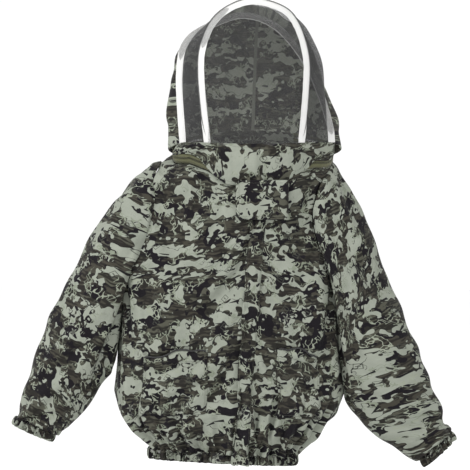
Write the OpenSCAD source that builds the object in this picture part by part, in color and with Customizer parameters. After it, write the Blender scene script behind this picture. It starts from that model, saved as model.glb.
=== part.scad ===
// Beekeeping jacket with a zipped-on veil hood, standing as worn, front towards -Y.
// Origin: middle of the neck at the height where the shoulders rest inside the jacket.

/* [Neck ring] */
// Half the width of the oval ring that the neck zip follows
neck_half_width = 200; // [190:1:210]
// Radius of the ring's two end curves
neck_end_radius = 80; // [70:1:90]
// Radius of the ring's front and back curves
neck_flat_radius = 303; // [290:1:320]
// Tilt of the ring, low at the throat and high at the nape
neck_tilt = 27; // [22:1:30]
// Height of the ring's centre above the origin
neck_height = 5; // [0:1:10]

/* [Jacket body] */
// Height below the origin where the yoke's curve ends
yoke_drop = 100; // [90:1:110]
// Height below the origin where the panels end and the hem casing starts
hem_drop = 735; // [715:1:745]
// Depth of the hem casing
hem_width = 27; // [22:1:32]
// Distance from the jacket's middle to its front at the throat
front_depth = 103; // [98:1:108]
// How much that distance shrinks for each millimetre down
front_taper = 0.0155; // [0.012:0.0005:0.018]
// Squareness of the body's cross-section, 2 is an ellipse
body_square = 2.7; // [2.5:0.1:3]
// Thickness of the body and sleeve fabric with its facings
cloth = 2.4; // [1.6:0.2:2.8]
// Middle of the armhole, measured down the side from the neck ring
armhole_middle = 162; // [155:1:170]
// Half the height of the armhole
armhole_half = 138; // [125:1:142]
// Half the angle of the body's side that the armhole takes
armhole_angle = 40; // [34:1:43]

/* [Front zip] */
// Sideways place of the zip at its top
zip_x = 15.5; // [12:0.5:18]
// Sideways drift of the zip for each millimetre down
zip_lean = 0.0796; // [0.07:0.001:0.085]
// Distance from the panels' surface in to the zip
zip_recess = 9; // [8.5:0.5:11]
// Width of each zip tape
tape_width = 12; // [10:0.5:13]
// Half the width of the opening between the front panels
zip_opening = 10; // [9:0.5:12]

/* [Throat flap] */
// Sideways place of the flap's sewn edge
flap_hinge_x = 87; // [82:1:92]
// Width of the flap
flap_width = 130; // [115:1:135]
// Height of the flap's top edge
flap_top = -62; // [-66:1:-61]
// Height of the flap
flap_height = 98; // [85:1:105]
// Distance of the flap in front of the panels
flap_stand = 9; // [8.5:0.5:12]

/* [Hood] */
// Width of the white tape that cases each hoop
hoop_tape = 17; // [15:0.5:18]
// Angle between the front and the way the tapes face
hoop_facing = 35; // [20:1:45]
// Radius of the springy rod inside each casing
hoop_rod_radius = 1.8; // [1.4:0.1:1.9]
// Thickness of the net
net = 1.2; // [0.8:0.1:1.4]
// How far the hood stands out behind the hoops
hood_bulge = 88; // [75:1:95]
// Height the hood's cloth rises behind the rear hoop
hood_crest = 150; // [100:10:160]

/* [Hidden] */

CAMO = [0.42, 0.43, 0.38];
OLIVE = [0.42, 0.42, 0.30];
WHITE = [0.92, 0.92, 0.90];
NET = [0.15, 0.15, 0.15];
BLACK = [0.08, 0.08, 0.08];
METAL = [0.55, 0.53, 0.42];

// Where the ring's end curves meet its flat curves, as an angle of the outward direction
end_centre = neck_half_width - neck_end_radius;
flat_centre = sqrt(pow(neck_flat_radius - neck_end_radius, 2) - pow(end_centre, 2));
end_angle = acos(end_centre / (neck_flat_radius - neck_end_radius));
ring_normal = [0, -sin(neck_tilt), cos(neck_tilt)];

// Body width, middle and back depth against the drop below the origin
body_half = [[100, 232], [135, 237], [235, 256], [360, 273], [502, 278], [580, 274],
             [630, 253], [670, 234], [710, 210], [735, 192], [770, 172]];
body_middle = [[100, -42], [135, -50], [235, -56], [360, -62], [580, -60], [630, -70], [770, -78]];
body_back = [[100, 108], [300, 110], [500, 104], [620, 92], [700, 80], [770, 74]];
hem_slope_start = 560;
hem_slope = 0.05;
panel_drops = [0, 18, 40, 66, 100, 150, 205, 255, 300, 340, 400, 470, 540, 600, 650, 695, hem_drop];

// Each sleeve row is the outer edge x, z, the inner edge x, z and half the front-to-back depth
right_rows = [[-357, -112, -349, -402, 80], [-440, -232, -352, -492, 76], [-500, -350, -369, -532, 70],
              [-552, -470, -407, -592, 62], [-580, -565, -447, -640, 54], [-590, -632, -480, -678, 46],
              [-585, -656, -503, -694, 37]];
left_rows = [[275, -130, 228, -442, 80], [330, -250, 232, -560, 76], [382, -370, 256, -612, 70],
             [432, -490, 302, -670, 62], [465, -570, 348, -708, 54], [488, -650, 396, -742, 46],
             [492, -700, 428, -757, 37]];
sleeve_sides = 18;
cuff_width = 20;

front_hoop = [[-112, -90, 26], [-128, -118, 193], [-120, -130, 275], [-83, -141, 339], [-10, -148, 373],
              [68, -144, 356], [106, -135, 315], [129, -123, 239], [129, -113, 159], [118, -90, 26]];
rear_hoop = [[-174, -24, 29], [-183, -16, 200], [-162, -8, 288], [-80, 0, 336], [-14, 2, 350],
             [60, 0, 320], [125, -6, 243], [165, -12, 160], [190, -18, 78], [195, -26, 33]];
band_top = [[-178, -28, 22], [-116, -93, 20], [-60, -113, 18], [0, -120, 17], [62, -113, 18],
            [123, -93, 20], [198, -30, 26]];
hoop_steps = 30;

// Smooth curve through a list of points, from 0 at the first to 1 at the last
function curve(p, u) =
  let (n = len(p) - 1, k = min(n - 1, floor(u * n)), f = u * n - k,
       a = p[max(0, k - 1)], b = p[k], c = p[k + 1], d = p[min(n, k + 2)])
  0.5 * (2 * b + (c - a) * f + (2 * a - 5 * b + 4 * c - d) * f * f + (3 * b - a - 3 * c + d) * f * f * f);
function mix(a, b, f) = a + (b - a) * f;
function limit(v, a, b) = max(a, min(b, v));
function unit(v) = v / max(norm(v), 0.0001);
function power(v, e) = sign(v) * pow(abs(v), e);

// Point of the neck ring whose outward direction is angle a, moved out and up across the ring's plane
function ring_flat(a, out) =
  let (w = (a % 360 + 360) % 360)
  (w <= end_angle || w >= 360 - end_angle) ? [end_centre + (neck_end_radius + out) * cos(w),
                                              (neck_end_radius + out) * sin(w)]
  : w < 180 - end_angle ? [(neck_flat_radius + out) * cos(w), (neck_flat_radius + out) * sin(w) - flat_centre]
  : w <= 180 + end_angle ? [-end_centre + (neck_end_radius + out) * cos(w), (neck_end_radius + out) * sin(w)]
  : [(neck_flat_radius + out) * cos(w), (neck_flat_radius + out) * sin(w) + flat_centre];
function ring_point(a, out, up) =
  let (p = ring_flat(a, out))
  [p[0], p[1] * cos(neck_tilt), neck_height + p[1] * sin(neck_tilt)] + up * ring_normal;
function ring_out(a) = [cos(a), sin(a) * cos(neck_tilt), sin(a) * sin(neck_tilt)];

// The jacket's outside at an angle round the body and a drop down it
function front_at(drop) = front_depth - (drop - 60) * front_taper;
function body_point(a, drop) =
  let (e = 2 / body_square, w = lookup(drop, body_half), m = lookup(drop, body_middle),
       depth = sin(a) > 0 ? lookup(drop, body_back) : front_at(drop), x = m + w * power(cos(a), e))
  [x, depth * power(sin(a), e),
   -drop - hem_slope * (x - m) * limit((drop - hem_slope_start) / (hem_drop - hem_slope_start), 0, 1)];
yoke_start = 15;
function yoke_point(a, f) =
  let (p = ring_point(a, 0, -yoke_start), q = body_point(a, yoke_drop))
  [mix(p[0], q[0], sin(90 * f)), mix(p[1], q[1], sin(90 * f)), mix(p[2], q[2], 1 - cos(90 * f))];
function shell(a, drop) = drop < yoke_drop ? yoke_point(a, drop / yoke_drop) : body_point(a, drop);

// Half the angle that the side seam or the armhole takes from the panels at a drop
seam_angle = 0.4;
function side_cut(drop) =
  let (f = (drop - armhole_middle) / (armhole_half + 6))
  abs(f) >= 1 ? seam_angle : seam_angle + (armhole_angle + 2) * sqrt(1 - f * f);
// Angle at which the front crosses a sideways place
function front_angle(x, drop) =
  let (d = max(drop, yoke_drop), w = lookup(d, body_half), m = lookup(d, body_middle),
       body = asin(power((x - m) / w, body_square / 2)), neck = asin(x / neck_flat_radius))
  270 + mix(neck, body, sin(90 * min(1, drop / yoke_drop)));
function zip_at(drop) = zip_x - (drop - 60) * zip_lean;

// Direction square to a grid of points; the rows may close round on themselves
function grid_normal(g, i, j, closed) =
  let (n = len(g) - 1, m = len(g[0]),
       j0 = closed ? (j + m - 1) % m : max(0, j - 1), j1 = closed ? (j + 1) % m : min(m - 1, j + 1))
  unit(cross(g[min(n, i + 1)][j] - g[max(0, i - 1)][j], g[i][j1] - g[i][j0]));

// Closed sheet between two distances from a grid of points, counted along the grid's own normal
module sheet(g, low, high, closed = false) {
  n = len(g);
  m = len(g[0]);
  normals = [for (i = [0:n - 1]) [for (j = [0:m - 1]) grid_normal(g, i, j, closed)]];
  points = [for (h = [high, low]) for (i = [0:n - 1]) for (j = [0:m - 1]) g[i][j] + h * normals[i][j]];
  last = closed ? m - 1 : m - 2;
  back = n * m;
  skin = [for (i = [0:n - 2]) for (j = [0:last])
            let (a = i * m + j, b = i * m + (j + 1) % m, c = a + m, d = b + m)
            each [[a, b, d], [a, d, c], [back + a, back + d, back + b], [back + a, back + c, back + d]]];
  ends = [for (j = [0:last])
            let (a = j, b = (j + 1) % m, c = (n - 1) * m + a, d = (n - 1) * m + b)
            each [[a, back + b, b], [a, back + a, back + b], [c, d, back + d], [c, back + d, back + c]]];
  sides = closed ? [] : [for (i = [0:n - 2])
            let (a = i * m, c = a + m, b = a + m - 1, d = b + m)
            each [[a, c, back + c], [a, back + c, back + a], [b, back + d, d], [b, back + b, back + d]]];
  polyhedron(points, concat(skin, ends, sides), convexity = 10);
}

// Solid swept along frames of [point, first direction, second direction] with a flat profile
module sweep(frames, profile, closed = false) {
  n = len(frames);
  m = len(profile);
  points = [for (f = frames) for (p = profile) f[0] + p[0] * f[1] + p[1] * f[2]];
  last = closed ? n - 1 : n - 2;
  walls = [for (i = [0:last]) for (j = [0:m - 1])
             let (next = (i + 1) % n * m, k = (j + 1) % m,
                  a = i * m + j, b = i * m + k, c = next + j, d = next + k)
             each [[a, b, d], [a, d, c]]];
  caps = closed ? [] : [[for (j = [m - 1:-1:0]) j], [for (j = [0:m - 1]) (n - 1) * m + j]];
  polyhedron(points, concat(walls, caps), convexity = 10);
}
function rectangle(a0, a1, b0, b1) = [[a0, b0], [a1, b0], [a1, b1], [a0, b1]];

module body_panel(a_left, a_right, cols, drops, low, high) {
  sheet([for (r = drops) [for (j = [0:cols]) shell(mix(a_left[0] + a_left[1] * side_cut(r) + a_left[2](r),
                                                       a_right[0] + a_right[1] * side_cut(r) + a_right[2](r),
                                                       j / cols), r)]], low, high);
}
none = function (r) 0;
edge_right = function (r) front_angle(zip_at(r) - zip_opening, r);
edge_left = function (r) front_angle(zip_at(r) + zip_opening, r);
half_cloth = cloth / 2;

module front_panel_right() {
  color(CAMO) body_panel([180, 1, none], [0, 0, edge_right], 8, panel_drops, -half_cloth, half_cloth);
}
module front_panel_left() {
  color(CAMO) body_panel([0, 0, edge_left], [360, -1, none], 8, panel_drops, -half_cloth, half_cloth);
}
module back_panel() {
  color(CAMO) body_panel([0, 1, none], [180, -1, none], 16, panel_drops, -half_cloth, half_cloth);
}

// Strip sewn to the left front that laps over the zip
fly_lap = 15;
fly_root = 24;
fly_drops = [for (r = panel_drops) if (r > 60) r];
module zip_fly() {
  color(CAMO) sheet([for (r = fly_drops) [for (x = [-fly_lap, -5, 5, zip_opening + 2, fly_root])
                    shell(front_angle(zip_at(r) + x, r), r)]], half_cloth + 0.6, half_cloth + 2.2);
}

// Patch pocket: a sheet on the front that stands away from it along its mouth
pocket_drops = [492, 520, 550, 580, 610, 636];
pocket_gap = 14;
pocket_rest = 1.8;
module pocket(x0, x1) {
  cols = 8;
  color(CAMO) sheet([for (r = pocket_drops) [for (j = [0:cols])
    let (f = (pocket_drops[5] - r) / (pocket_drops[5] - pocket_drops[0]),
         side = pow(sin(180 * j / cols), 0.6), p = shell(front_angle(mix(x0, x1, j / cols), r), r))
    p - [0, half_cloth + pocket_rest + 1 + pocket_gap * f * side, 0]]], -1, 1);
}
module pocket_right() { pocket(-268, -112); }
module pocket_left() { pocket(62, 156); }

// Hem: a folded casing round the bottom with the elastic inside it
hem_frames = [for (k = [0:44]) let (r = hem_drop + 2, a = mix(front_angle(zip_at(r) + zip_opening, r),
              front_angle(zip_at(r) - zip_opening, r) + 360, k / 44),
              p = shell(a, r), q = shell(a + 1, r), t = unit(q - p))
              [p, unit([t[1], -t[0], 0]), [0, 0, -1]]];
module hem_casing() {
  color(CAMO) sweep(hem_frames, [[-2.6, 0], [-1.4, 0], [-1.4, hem_width - 1.4], [1.4, hem_width - 1.4],
                                 [1.4, 0], [2.6, 0], [2.6, hem_width], [-2.6, hem_width]]);
}
module hem_elastic() { color(WHITE) sweep(hem_frames, rectangle(-0.8, 0.8, 1, hem_width - 3)); }

// Front zip: straight, in its own frame with z down the chain and -y towards the front
zip_top_drop = 64;
zip_bottom_drop = 752;
zip_top = [zip_at(zip_top_drop), -front_at(zip_top_drop) + zip_recess, -zip_top_drop];
zip_bottom = [zip_at(zip_bottom_drop), -front_at(zip_bottom_drop) + zip_recess, -zip_bottom_drop];
zip_length = norm(zip_bottom - zip_top);
zip_run = unit(zip_bottom - zip_top);
teeth_gap = 0.5;
teeth_width = 2.4;
slider_length = 13;
module on_zip() {
  translate(zip_top) rotate([atan2(zip_run[1], -zip_run[2]), 0, 0])
    rotate([0, atan2(-zip_run[0], -zip_run[2]), 0]) children();
}
module box(x0, x1, y0, y1, z0, z1) { translate([x0, y0, z0]) cube([x1 - x0, y1 - y0, z1 - z0]); }
module zip_side(s, x0, x1, y0, y1, z0, z1) {
  on_zip() mirror([s < 0 ? 1 : 0, 0, 0]) box(x0, x1, y0, y1, z0, z1);
}
module front_zip_tape_left() {
  color(BLACK) zip_side(1, teeth_gap + teeth_width + 0.05, tape_width, -0.4, 0.4, -zip_length, 0);
}
module front_zip_tape_right() {
  color(BLACK) zip_side(-1, teeth_gap + teeth_width + 0.05, tape_width, -0.4, 0.4, -zip_length, 0);
}
module front_zip_teeth_left() {
  color(BLACK) zip_side(1, teeth_gap, teeth_gap + teeth_width, -1.3, 1.3, 16 - zip_length, -4);
}
module front_zip_teeth_right() {
  color(BLACK) zip_side(-1, teeth_gap, teeth_gap + teeth_width, -1.3, 1.3, 16 - zip_length, -4);
}
module front_zip_top_stops() {
  for (s = [-1, 1]) color(METAL) zip_side(s, teeth_gap, teeth_gap + teeth_width, -1.5, 1.5, -3.8, -0.6);
}
module front_zip_bottom_box() {
  color(METAL) on_zip() difference() {
    box(-5.4, 5.4, -2.6, 2.6, 1 - zip_length, 15 - zip_length);
    for (s = [-1, 1]) mirror([s < 0 ? 1 : 0, 0, 0]) box(2.8, 6, -0.7, 0.7, -zip_length, 16 - zip_length);
  }
}
module slider_plates() {
  for (y = [-3.6, 2.2]) box(-5, 5, y, y + 1.4, -slider_length / 2, slider_length / 2);
  box(-0.25, 0.25, -2.3, 2.3, -1.5, 1.5);
}
module slider_bridge() {
  difference() {
    box(-0.6, 0.6, -7, -3.5, -4, 4);
    box(-2, 2, -6.1, -3.6, -2.6, 2.6);
  }
}
module slider_body() {
  slider_plates();
  slider_bridge();
}
// Pull tab that hangs from the slider's bridge
pull_length = 26;
pull_stand = 4.85;
module pull_tab() {
  translate([0, -pull_stand, 0]) rotate([90, 0, 0]) linear_extrude(1.1, center = true) difference() {
    union() {
      translate([-3.6, -pull_length]) square([7.2, pull_length - 3]);
      translate([0, -3.4]) circle(3.6, $fn = 32);
      translate([0, -pull_length]) circle(3.6, $fn = 32);
    }
    translate([-2.2, -6.4]) square([4.4, 4.8]);
    translate([0, -pull_length]) circle(1.6, $fn = 24);
  }
}
module front_slider_place() { on_zip() translate([0, 0, -slider_length / 2 - 4.5]) children(); }
module front_zip_slider() { color(METAL) front_slider_place() slider_body(); }
module front_zip_pull() { color(METAL) front_slider_place() pull_tab(); }

// Neck zip: two chains one above the other round the ring, open at the nape where the hood is sewn on
nape_gap = 20;
ring_steps = 68;
ring_frames = [for (k = [0:ring_steps]) let (a = mix(90 + nape_gap, 450 - nape_gap, k / ring_steps))
               [ring_point(a, 0, 0), ring_out(a), ring_normal]];
module neck_zip_lower_tape() { color(OLIVE) sweep(ring_frames, rectangle(-0.4, 0.4, -13, -3)); }
module neck_zip_lower_teeth() { color(OLIVE) sweep(ring_frames, rectangle(-1.3, 1.3, -2.9, -0.5)); }
module neck_zip_upper_tape() { color(OLIVE) sweep(ring_frames, rectangle(-0.4, 0.4, 3, 13)); }
module neck_zip_upper_teeth() { color(OLIVE) sweep(ring_frames, rectangle(-1.3, 1.3, 0.5, 2.9)); }
neck_slider_angle = 2.2;
neck_pull_tilt = 4;
module neck_slider_place(s) {
  translate(ring_point(270 + s * neck_slider_angle, 0, 0)) rotate([neck_tilt, 0, 0])
    rotate([0, 0, s * neck_slider_angle]) children();
}
module neck_slider(s) {
  color(METAL) neck_slider_place(s) {
    rotate([0, s * 90, 0]) slider_plates();
    slider_bridge();
  }
}
module neck_slider_left() { neck_slider(1); }
module neck_slider_right() { neck_slider(-1); }
module neck_pull(s) {
  color(METAL) neck_slider_place(s) translate([0, -pull_stand, 0])
    rotate([-neck_tilt - neck_pull_tilt, 0, 0]) translate([0, pull_stand, 0]) pull_tab();
}
module neck_pull_left() { neck_pull(1); }
module neck_pull_right() { neck_pull(-1); }

// Cloth strip that joins the hood to the jacket where the neck zip is open
nape_edge = 1;
module nape_band() {
  color(CAMO) sheet([for (up = [-13.5, -5, 4, 12]) [for (k = [0:8])
    ring_point(mix(90 - nape_gap + nape_edge, 90 + nape_gap - nape_edge, k / 8), 0, up)]], -0.8, 0.8);
}

// Throat flap: hinged at its sewn edge, held at the other by hook-and-loop
flap_y = -front_at(110) - flap_stand;
flap_cloth = 1.6;
module throat_flap() {
  color(CAMO) union() {
    box(flap_hinge_x - flap_width, flap_hinge_x, flap_y - flap_cloth, flap_y,
        flap_top - flap_height, flap_top);
    box(flap_hinge_x - flap_cloth, flap_hinge_x, flap_y - 0.1, flap_y + flap_stand + 4.5,
        flap_top - flap_height, flap_top - 42);
  }
}
patch_width = 20;
patch_height = 60;
patch_x = flap_hinge_x - flap_width + 4;
patch_z = flap_top - 88;
module patch(y) {
  color(BLACK) box(patch_x, patch_x + patch_width, y, y + 1.6, patch_z, patch_z + patch_height);
}
module throat_hook_patch() { patch(flap_y + 0.1); }
module throat_loop_patch() { patch(flap_y + 3.6); }

// Sleeves: rings from the armhole to the cuff; s is the side, -1 for the wearer's right
sleeve_gap = 6;
function armhole_point(s, a) =
  shell((s < 0 ? 180 : 360) - s * armhole_angle * sin(a), armhole_middle - armhole_half * cos(a))
  + [s * sleeve_gap, 0, 0];
function sleeve_ring(row, a) =
  let (o = [row[0], 0, row[1]], i = [row[2], 0, row[3]])
  (o + i) / 2 + (o - i) / 2 * cos(a) + [0, -row[4] * sin(a), 0];
function sleeve_point(s, rows, v, a) =
  curve(concat([armhole_point(s, a)], [for (r = rows) sleeve_ring(r, a)]), v);
cuff_start = 0.955;
module sleeve(s, rows) {
  steps = 14;
  color(CAMO) sheet([for (i = [0:steps]) [for (k = [0:sleeve_sides - 1])
    sleeve_point(s, rows, cuff_start * i / steps, -s * 360 * k / sleeve_sides)]],
    -half_cloth, half_cloth, true);
}
function cuff_frames(s, rows) =
  let (v = cuff_start + 0.01, e = rows[len(rows) - 1],
       middle = (sleeve_point(s, rows, v, 0) + sleeve_point(s, rows, v, 180)) / 2,
       run = unit([(e[0] + e[2]) / 2, 0, (e[1] + e[3]) / 2] - middle))
  [for (k = [0:23])
    let (a = -s * 15 * k, p = sleeve_point(s, rows, v, a), q = sleeve_point(s, rows, v, a - s))
    [p, -unit(cross(run, unit(q - p))), run]];
cuff_profile = [[-2.4, 0], [-1.3, 0], [-1.3, cuff_width - 1.2], [1.3, cuff_width - 1.2], [1.3, 0], [2.4, 0],
                [2.4, cuff_width], [-2.4, cuff_width]];
module sleeve_right() { sleeve(-1, right_rows); }
module sleeve_left() { sleeve(1, left_rows); }
module cuff_casing_right() { color(CAMO) sweep(cuff_frames(-1, right_rows), cuff_profile, true); }
module cuff_casing_left() { color(CAMO) sweep(cuff_frames(1, left_rows), cuff_profile, true); }
module cuff_elastic_right() {
  color(WHITE) sweep(cuff_frames(-1, right_rows), rectangle(-0.8, 0.8, 1, cuff_width - 3), true);
}
module cuff_elastic_left() {
  color(WHITE) sweep(cuff_frames(1, left_rows), rectangle(-0.8, 0.8, 1, cuff_width - 3), true);
}

// Hoops: a rod in the pocket of a flat tape; the first direction lies across the tape, the second out
function hoop_frames(path) =
  [for (k = [0:hoop_steps]) let (u = k / hoop_steps, p = curve(path, u),
    t = unit(curve(path, min(1, u + 0.01)) - curve(path, max(0, u - 0.01))),
    side = unit(cross(t, [0, 1, 0])), front = cross(t, side), c = cos(hoop_facing), s = sin(hoop_facing))
   [p, c * side - s * front, c * front + s * side]];
hoop_profile = [[-hoop_tape / 2, 3.4], [-hoop_tape / 2, 2.3], [-3.2, 2.3], [-3.2, -2.4],
                [-2.2, -2.4], [-2.2, 2.3], [2.2, 2.3], [2.2, -2.4],
                [3.2, -2.4], [3.2, 2.3], [hoop_tape / 2, 2.3], [hoop_tape / 2, 3.4]];
rod_profile = [for (k = [0:7]) hoop_rod_radius * [cos(45 * k), sin(45 * k)]];
module front_hoop_casing() { color(WHITE) sweep(hoop_frames(front_hoop), hoop_profile); }
module rear_hoop_casing() { color(WHITE) sweep(hoop_frames(rear_hoop), hoop_profile); }
module front_hoop_rod() { color(WHITE) sweep(hoop_frames(front_hoop), rod_profile); }
module rear_hoop_rod() { color(WHITE) sweep(hoop_frames(rear_hoop), rod_profile); }

// Sheet between two curves, kept clear of each by a margin in millimetres and pushed out in its middle
function span(p, q, v, m0, m1, push) =
  let (l = max(1, norm(q - p)), f = mix(min(0.4, m0 / l), 1 - min(0.4, m1 / l), v))
  mix(p, q, f) + push * sin(180 * f);
// Distance of the front net from its hoop's middle
veil_inset = 11;
module hood_back(u0, u1) {
  color(CAMO) sheet([for (i = [0:9]) [for (j = [0:10])
    let (u = mix(u0, u1, j / 10), a = 190 - 200 * u)
    span(curve(rear_hoop, u), ring_point(a, 0, 14.5), i / 9, 10, 1,
         [-22 * cos(180 * u), 12 + hood_bulge * sin(180 * u), hood_crest * pow(sin(180 * u), 3)])]], -1, 1);
}
module hood_back_right() { hood_back(0.015, 0.498); }
module hood_back_left() { hood_back(0.502, 0.985); }
module hood_neck_band() {
  color(CAMO) sheet([for (i = [0:3]) [for (j = [0:20])
    span(curve(band_top, j / 20), ring_point(196 + 148 * j / 20, 0, 14.5), i / 3, 0, 0, [0, 0, 0])]], -1, 1);
}
module veil_front() {
  color(NET) sheet([for (i = [0:8]) [for (j = [0:16])
    let (u = mix(0.04, 0.96, j / 16), p = curve(front_hoop, u))
    span(p + veil_inset * unit([-p[0], 0, 150 - p[2]]), curve(band_top, mix(0.21, 0.79, u)), i / 8, 0, 3.5,
         [0, -12 * sin(180 * u), 0])]], -net / 2, net / 2);
}
module veil_crown() {
  color(NET) sheet([for (i = [0:6]) [for (j = [0:24])
    let (u = mix(0.02, 0.98, j / 24), p = curve(front_hoop, u),
         push = 10 + 26 * exp(-pow((u - 0.72) / 0.14, 2)))
    span(p, curve(rear_hoop, u), i / 6, 11, 11, push * unit([p[0], 0, p[2] - 150]))]], -net / 2, net / 2);
}

front_panel_left();
front_panel_right();
back_panel();
hem_casing();
hem_elastic();
pocket_left();
pocket_right();
zip_fly();
front_zip_tape_left();
front_zip_tape_right();
front_zip_teeth_left();
front_zip_teeth_right();
front_zip_top_stops();
front_zip_bottom_box();
front_zip_slider();
front_zip_pull();
neck_zip_lower_tape();
neck_zip_lower_teeth();
neck_slider_left();
neck_slider_right();
neck_pull_left();
neck_pull_right();
nape_band();
throat_loop_patch();
throat_flap();
throat_hook_patch();
sleeve_left();
cuff_casing_left();
cuff_elastic_left();
sleeve_right();
cuff_casing_right();
cuff_elastic_right();
neck_zip_upper_tape();
neck_zip_upper_teeth();
hood_neck_band();
hood_back_left();
hood_back_right();
veil_front();
veil_crown();
front_hoop_casing();
front_hoop_rod();
rear_hoop_casing();
rear_hoop_rod();
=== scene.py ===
"""Beekeeping jacket with its veil hood: the looks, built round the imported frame. Lengths are in metres."""

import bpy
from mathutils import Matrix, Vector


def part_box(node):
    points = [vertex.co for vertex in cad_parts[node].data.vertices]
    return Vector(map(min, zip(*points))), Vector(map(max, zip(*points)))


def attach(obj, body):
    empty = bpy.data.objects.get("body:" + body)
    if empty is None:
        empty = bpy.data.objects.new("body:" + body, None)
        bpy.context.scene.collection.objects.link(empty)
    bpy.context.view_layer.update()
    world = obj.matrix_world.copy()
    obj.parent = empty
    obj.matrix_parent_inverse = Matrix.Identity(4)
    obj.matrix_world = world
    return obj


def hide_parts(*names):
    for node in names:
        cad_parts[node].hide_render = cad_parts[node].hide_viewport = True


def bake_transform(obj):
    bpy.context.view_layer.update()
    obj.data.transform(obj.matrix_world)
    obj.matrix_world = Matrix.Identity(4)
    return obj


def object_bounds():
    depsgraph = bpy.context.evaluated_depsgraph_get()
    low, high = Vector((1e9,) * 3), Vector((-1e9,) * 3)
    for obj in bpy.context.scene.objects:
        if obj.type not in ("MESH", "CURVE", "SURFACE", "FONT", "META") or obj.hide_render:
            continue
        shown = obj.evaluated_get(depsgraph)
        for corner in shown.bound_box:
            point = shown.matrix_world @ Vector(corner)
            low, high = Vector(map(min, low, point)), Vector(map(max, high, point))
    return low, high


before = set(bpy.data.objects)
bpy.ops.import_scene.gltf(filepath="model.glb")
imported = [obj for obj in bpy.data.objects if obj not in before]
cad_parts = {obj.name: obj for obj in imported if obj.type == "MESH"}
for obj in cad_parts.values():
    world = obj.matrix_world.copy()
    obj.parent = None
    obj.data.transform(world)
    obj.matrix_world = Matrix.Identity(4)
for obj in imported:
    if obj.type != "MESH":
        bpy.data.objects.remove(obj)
CAD_BOX = [list(corner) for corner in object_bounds()]

import math

import bpy
import numpy as np
from mathutils import Vector

MM = 0.001

# ---------------------------------------------------------------- driving values, from the frame
RING_HALF = 0.200
END_R = 0.080
FLAT_R = 0.303
TILT = math.radians(27)
RING_Z = 0.005
END_C = RING_HALF - END_R
FLAT_C = math.sqrt((FLAT_R - END_R) ** 2 - END_C ** 2)
END_A = math.degrees(math.acos(END_C / (FLAT_R - END_R)))
RING_N = np.array([0, -math.sin(TILT), math.cos(TILT)])
YOKE_DROP = 0.100
YOKE_START = 0.015
HEM_DROP = 0.735
HEM_WIDTH = 0.027
SQUARE = 2.7
ARM_MID, ARM_HALF, ARM_ANGLE = 0.162, 0.138, 40.0
# Drops down the body in metres, and the half width, middle and back depth there
HALF_AT = ([.100, .135, .235, .360, .502, .580, .630, .670, .710, .735, .770],
           [.232, .237, .256, .273, .278, .274, .252, .231, .202, .178, .168])
MIDDLE_AT = ([.100, .135, .235, .360, .580, .630, .770], [-.042, -.050, -.056, -.062, -.060, -.070, -.078])
BACK_AT = ([.100, .300, .500, .620, .700, .770], [.108, .110, .104, .092, .080, .074])
# Sleeve sections down the arm in millimetres: outer x and z, inner x and z, half depth
RIGHT_ROWS = [(-357, -110, -332, -402, 80), (-440, -230, -336, -492, 76), (-500, -350, -367, -532, 70),
              (-552, -470, -407, -592, 62), (-580, -565, -447, -640, 54), (-590, -632, -480, -678, 46),
              (-585, -656, -503, -694, 37)]
LEFT_ROWS = [(275, -130, 215, -442, 80), (330, -250, 216, -560, 76), (382, -370, 250, -612, 70),
             (432, -490, 302, -670, 62), (465, -570, 348, -708, 54), (488, -650, 396, -742, 46),
             (492, -700, 428, -757, 37)]
# Paths of the hoops and of the neck band's top edge, in millimetres
FRONT_HOOP = [(-112, -90, 26), (-128, -118, 193), (-120, -130, 275), (-83, -141, 339), (-10, -148, 373),
              (68, -144, 356), (106, -135, 315), (129, -123, 239), (129, -113, 159), (118, -90, 26)]
REAR_HOOP = [(-174, -24, 29), (-183, -16, 200), (-162, -8, 288), (-80, 0, 336), (-14, 2, 350),
             (60, 0, 320), (125, -6, 243), (165, -12, 160), (190, -18, 78), (195, -26, 33)]
BAND_TOP = [(-187, -10, 24), (-116, -93, 20), (-60, -113, 18), (0, -120, 17), (62, -113, 18),
            (123, -93, 20), (205, -12, 28)]
HOOP_FACING = 28.0  # degrees outwards from straight ahead
HOOP_TAPE = 0.0198
CUFF_START = 0.955
CUFF_WIDTH = 0.020
# How far the front of the neck zip sags, against the place across it
SAG_X = [-.207, -.157, -.115, -.087, -.066, -.042, -.018, .018, .045, .067, .092, .112, .155, .200]
SAG_Z = [.003, .021, .014, .000, -.010, -.007, 0, 0, -.008, -.006, .005, .011, .010, -.006]
HEM_PLEAT = 0.0150
CUFF_PLEAT = 0.0110


# ---------------------------------------------------------------- the same surfaces as the frame's
def sind(a):
    return np.sin(np.radians(a))


def cosd(a):
    return np.cos(np.radians(a))


def power(v, e):
    return np.sign(v) * np.abs(v) ** e


def unit(v):
    return v / np.maximum(np.linalg.norm(v, axis=-1, keepdims=True), 1e-9)


def mix(a, b, f):
    return a + (b - a) * f


def ring_point(a, out=0.0, up=0.0):
    """Point of the neck ring whose outward direction is angle a."""
    a, out, up = np.broadcast_arrays(np.asarray(a, float), out, up)
    w = a % 360
    end_r = (w <= END_A) | (w >= 360 - END_A)
    end_l = (w >= 180 - END_A) & (w <= 180 + END_A)
    back = (w > END_A) & (w < 180 - END_A)
    r = np.where(end_r | end_l, END_R, FLAT_R) + out
    x = r * cosd(w) + np.where(end_r, END_C, np.where(end_l, -END_C, 0))
    q = r * sind(w) + np.where(end_r | end_l, 0, np.where(back, -FLAT_C, FLAT_C))
    p = np.stack([x, q * math.cos(TILT), RING_Z + q * math.sin(TILT)], -1)
    return p + up[..., None] * RING_N


def ring_out(a):
    a = np.asarray(a, float)
    return np.stack([cosd(a), sind(a) * math.cos(TILT), sind(a) * math.sin(TILT)], -1)


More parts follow.
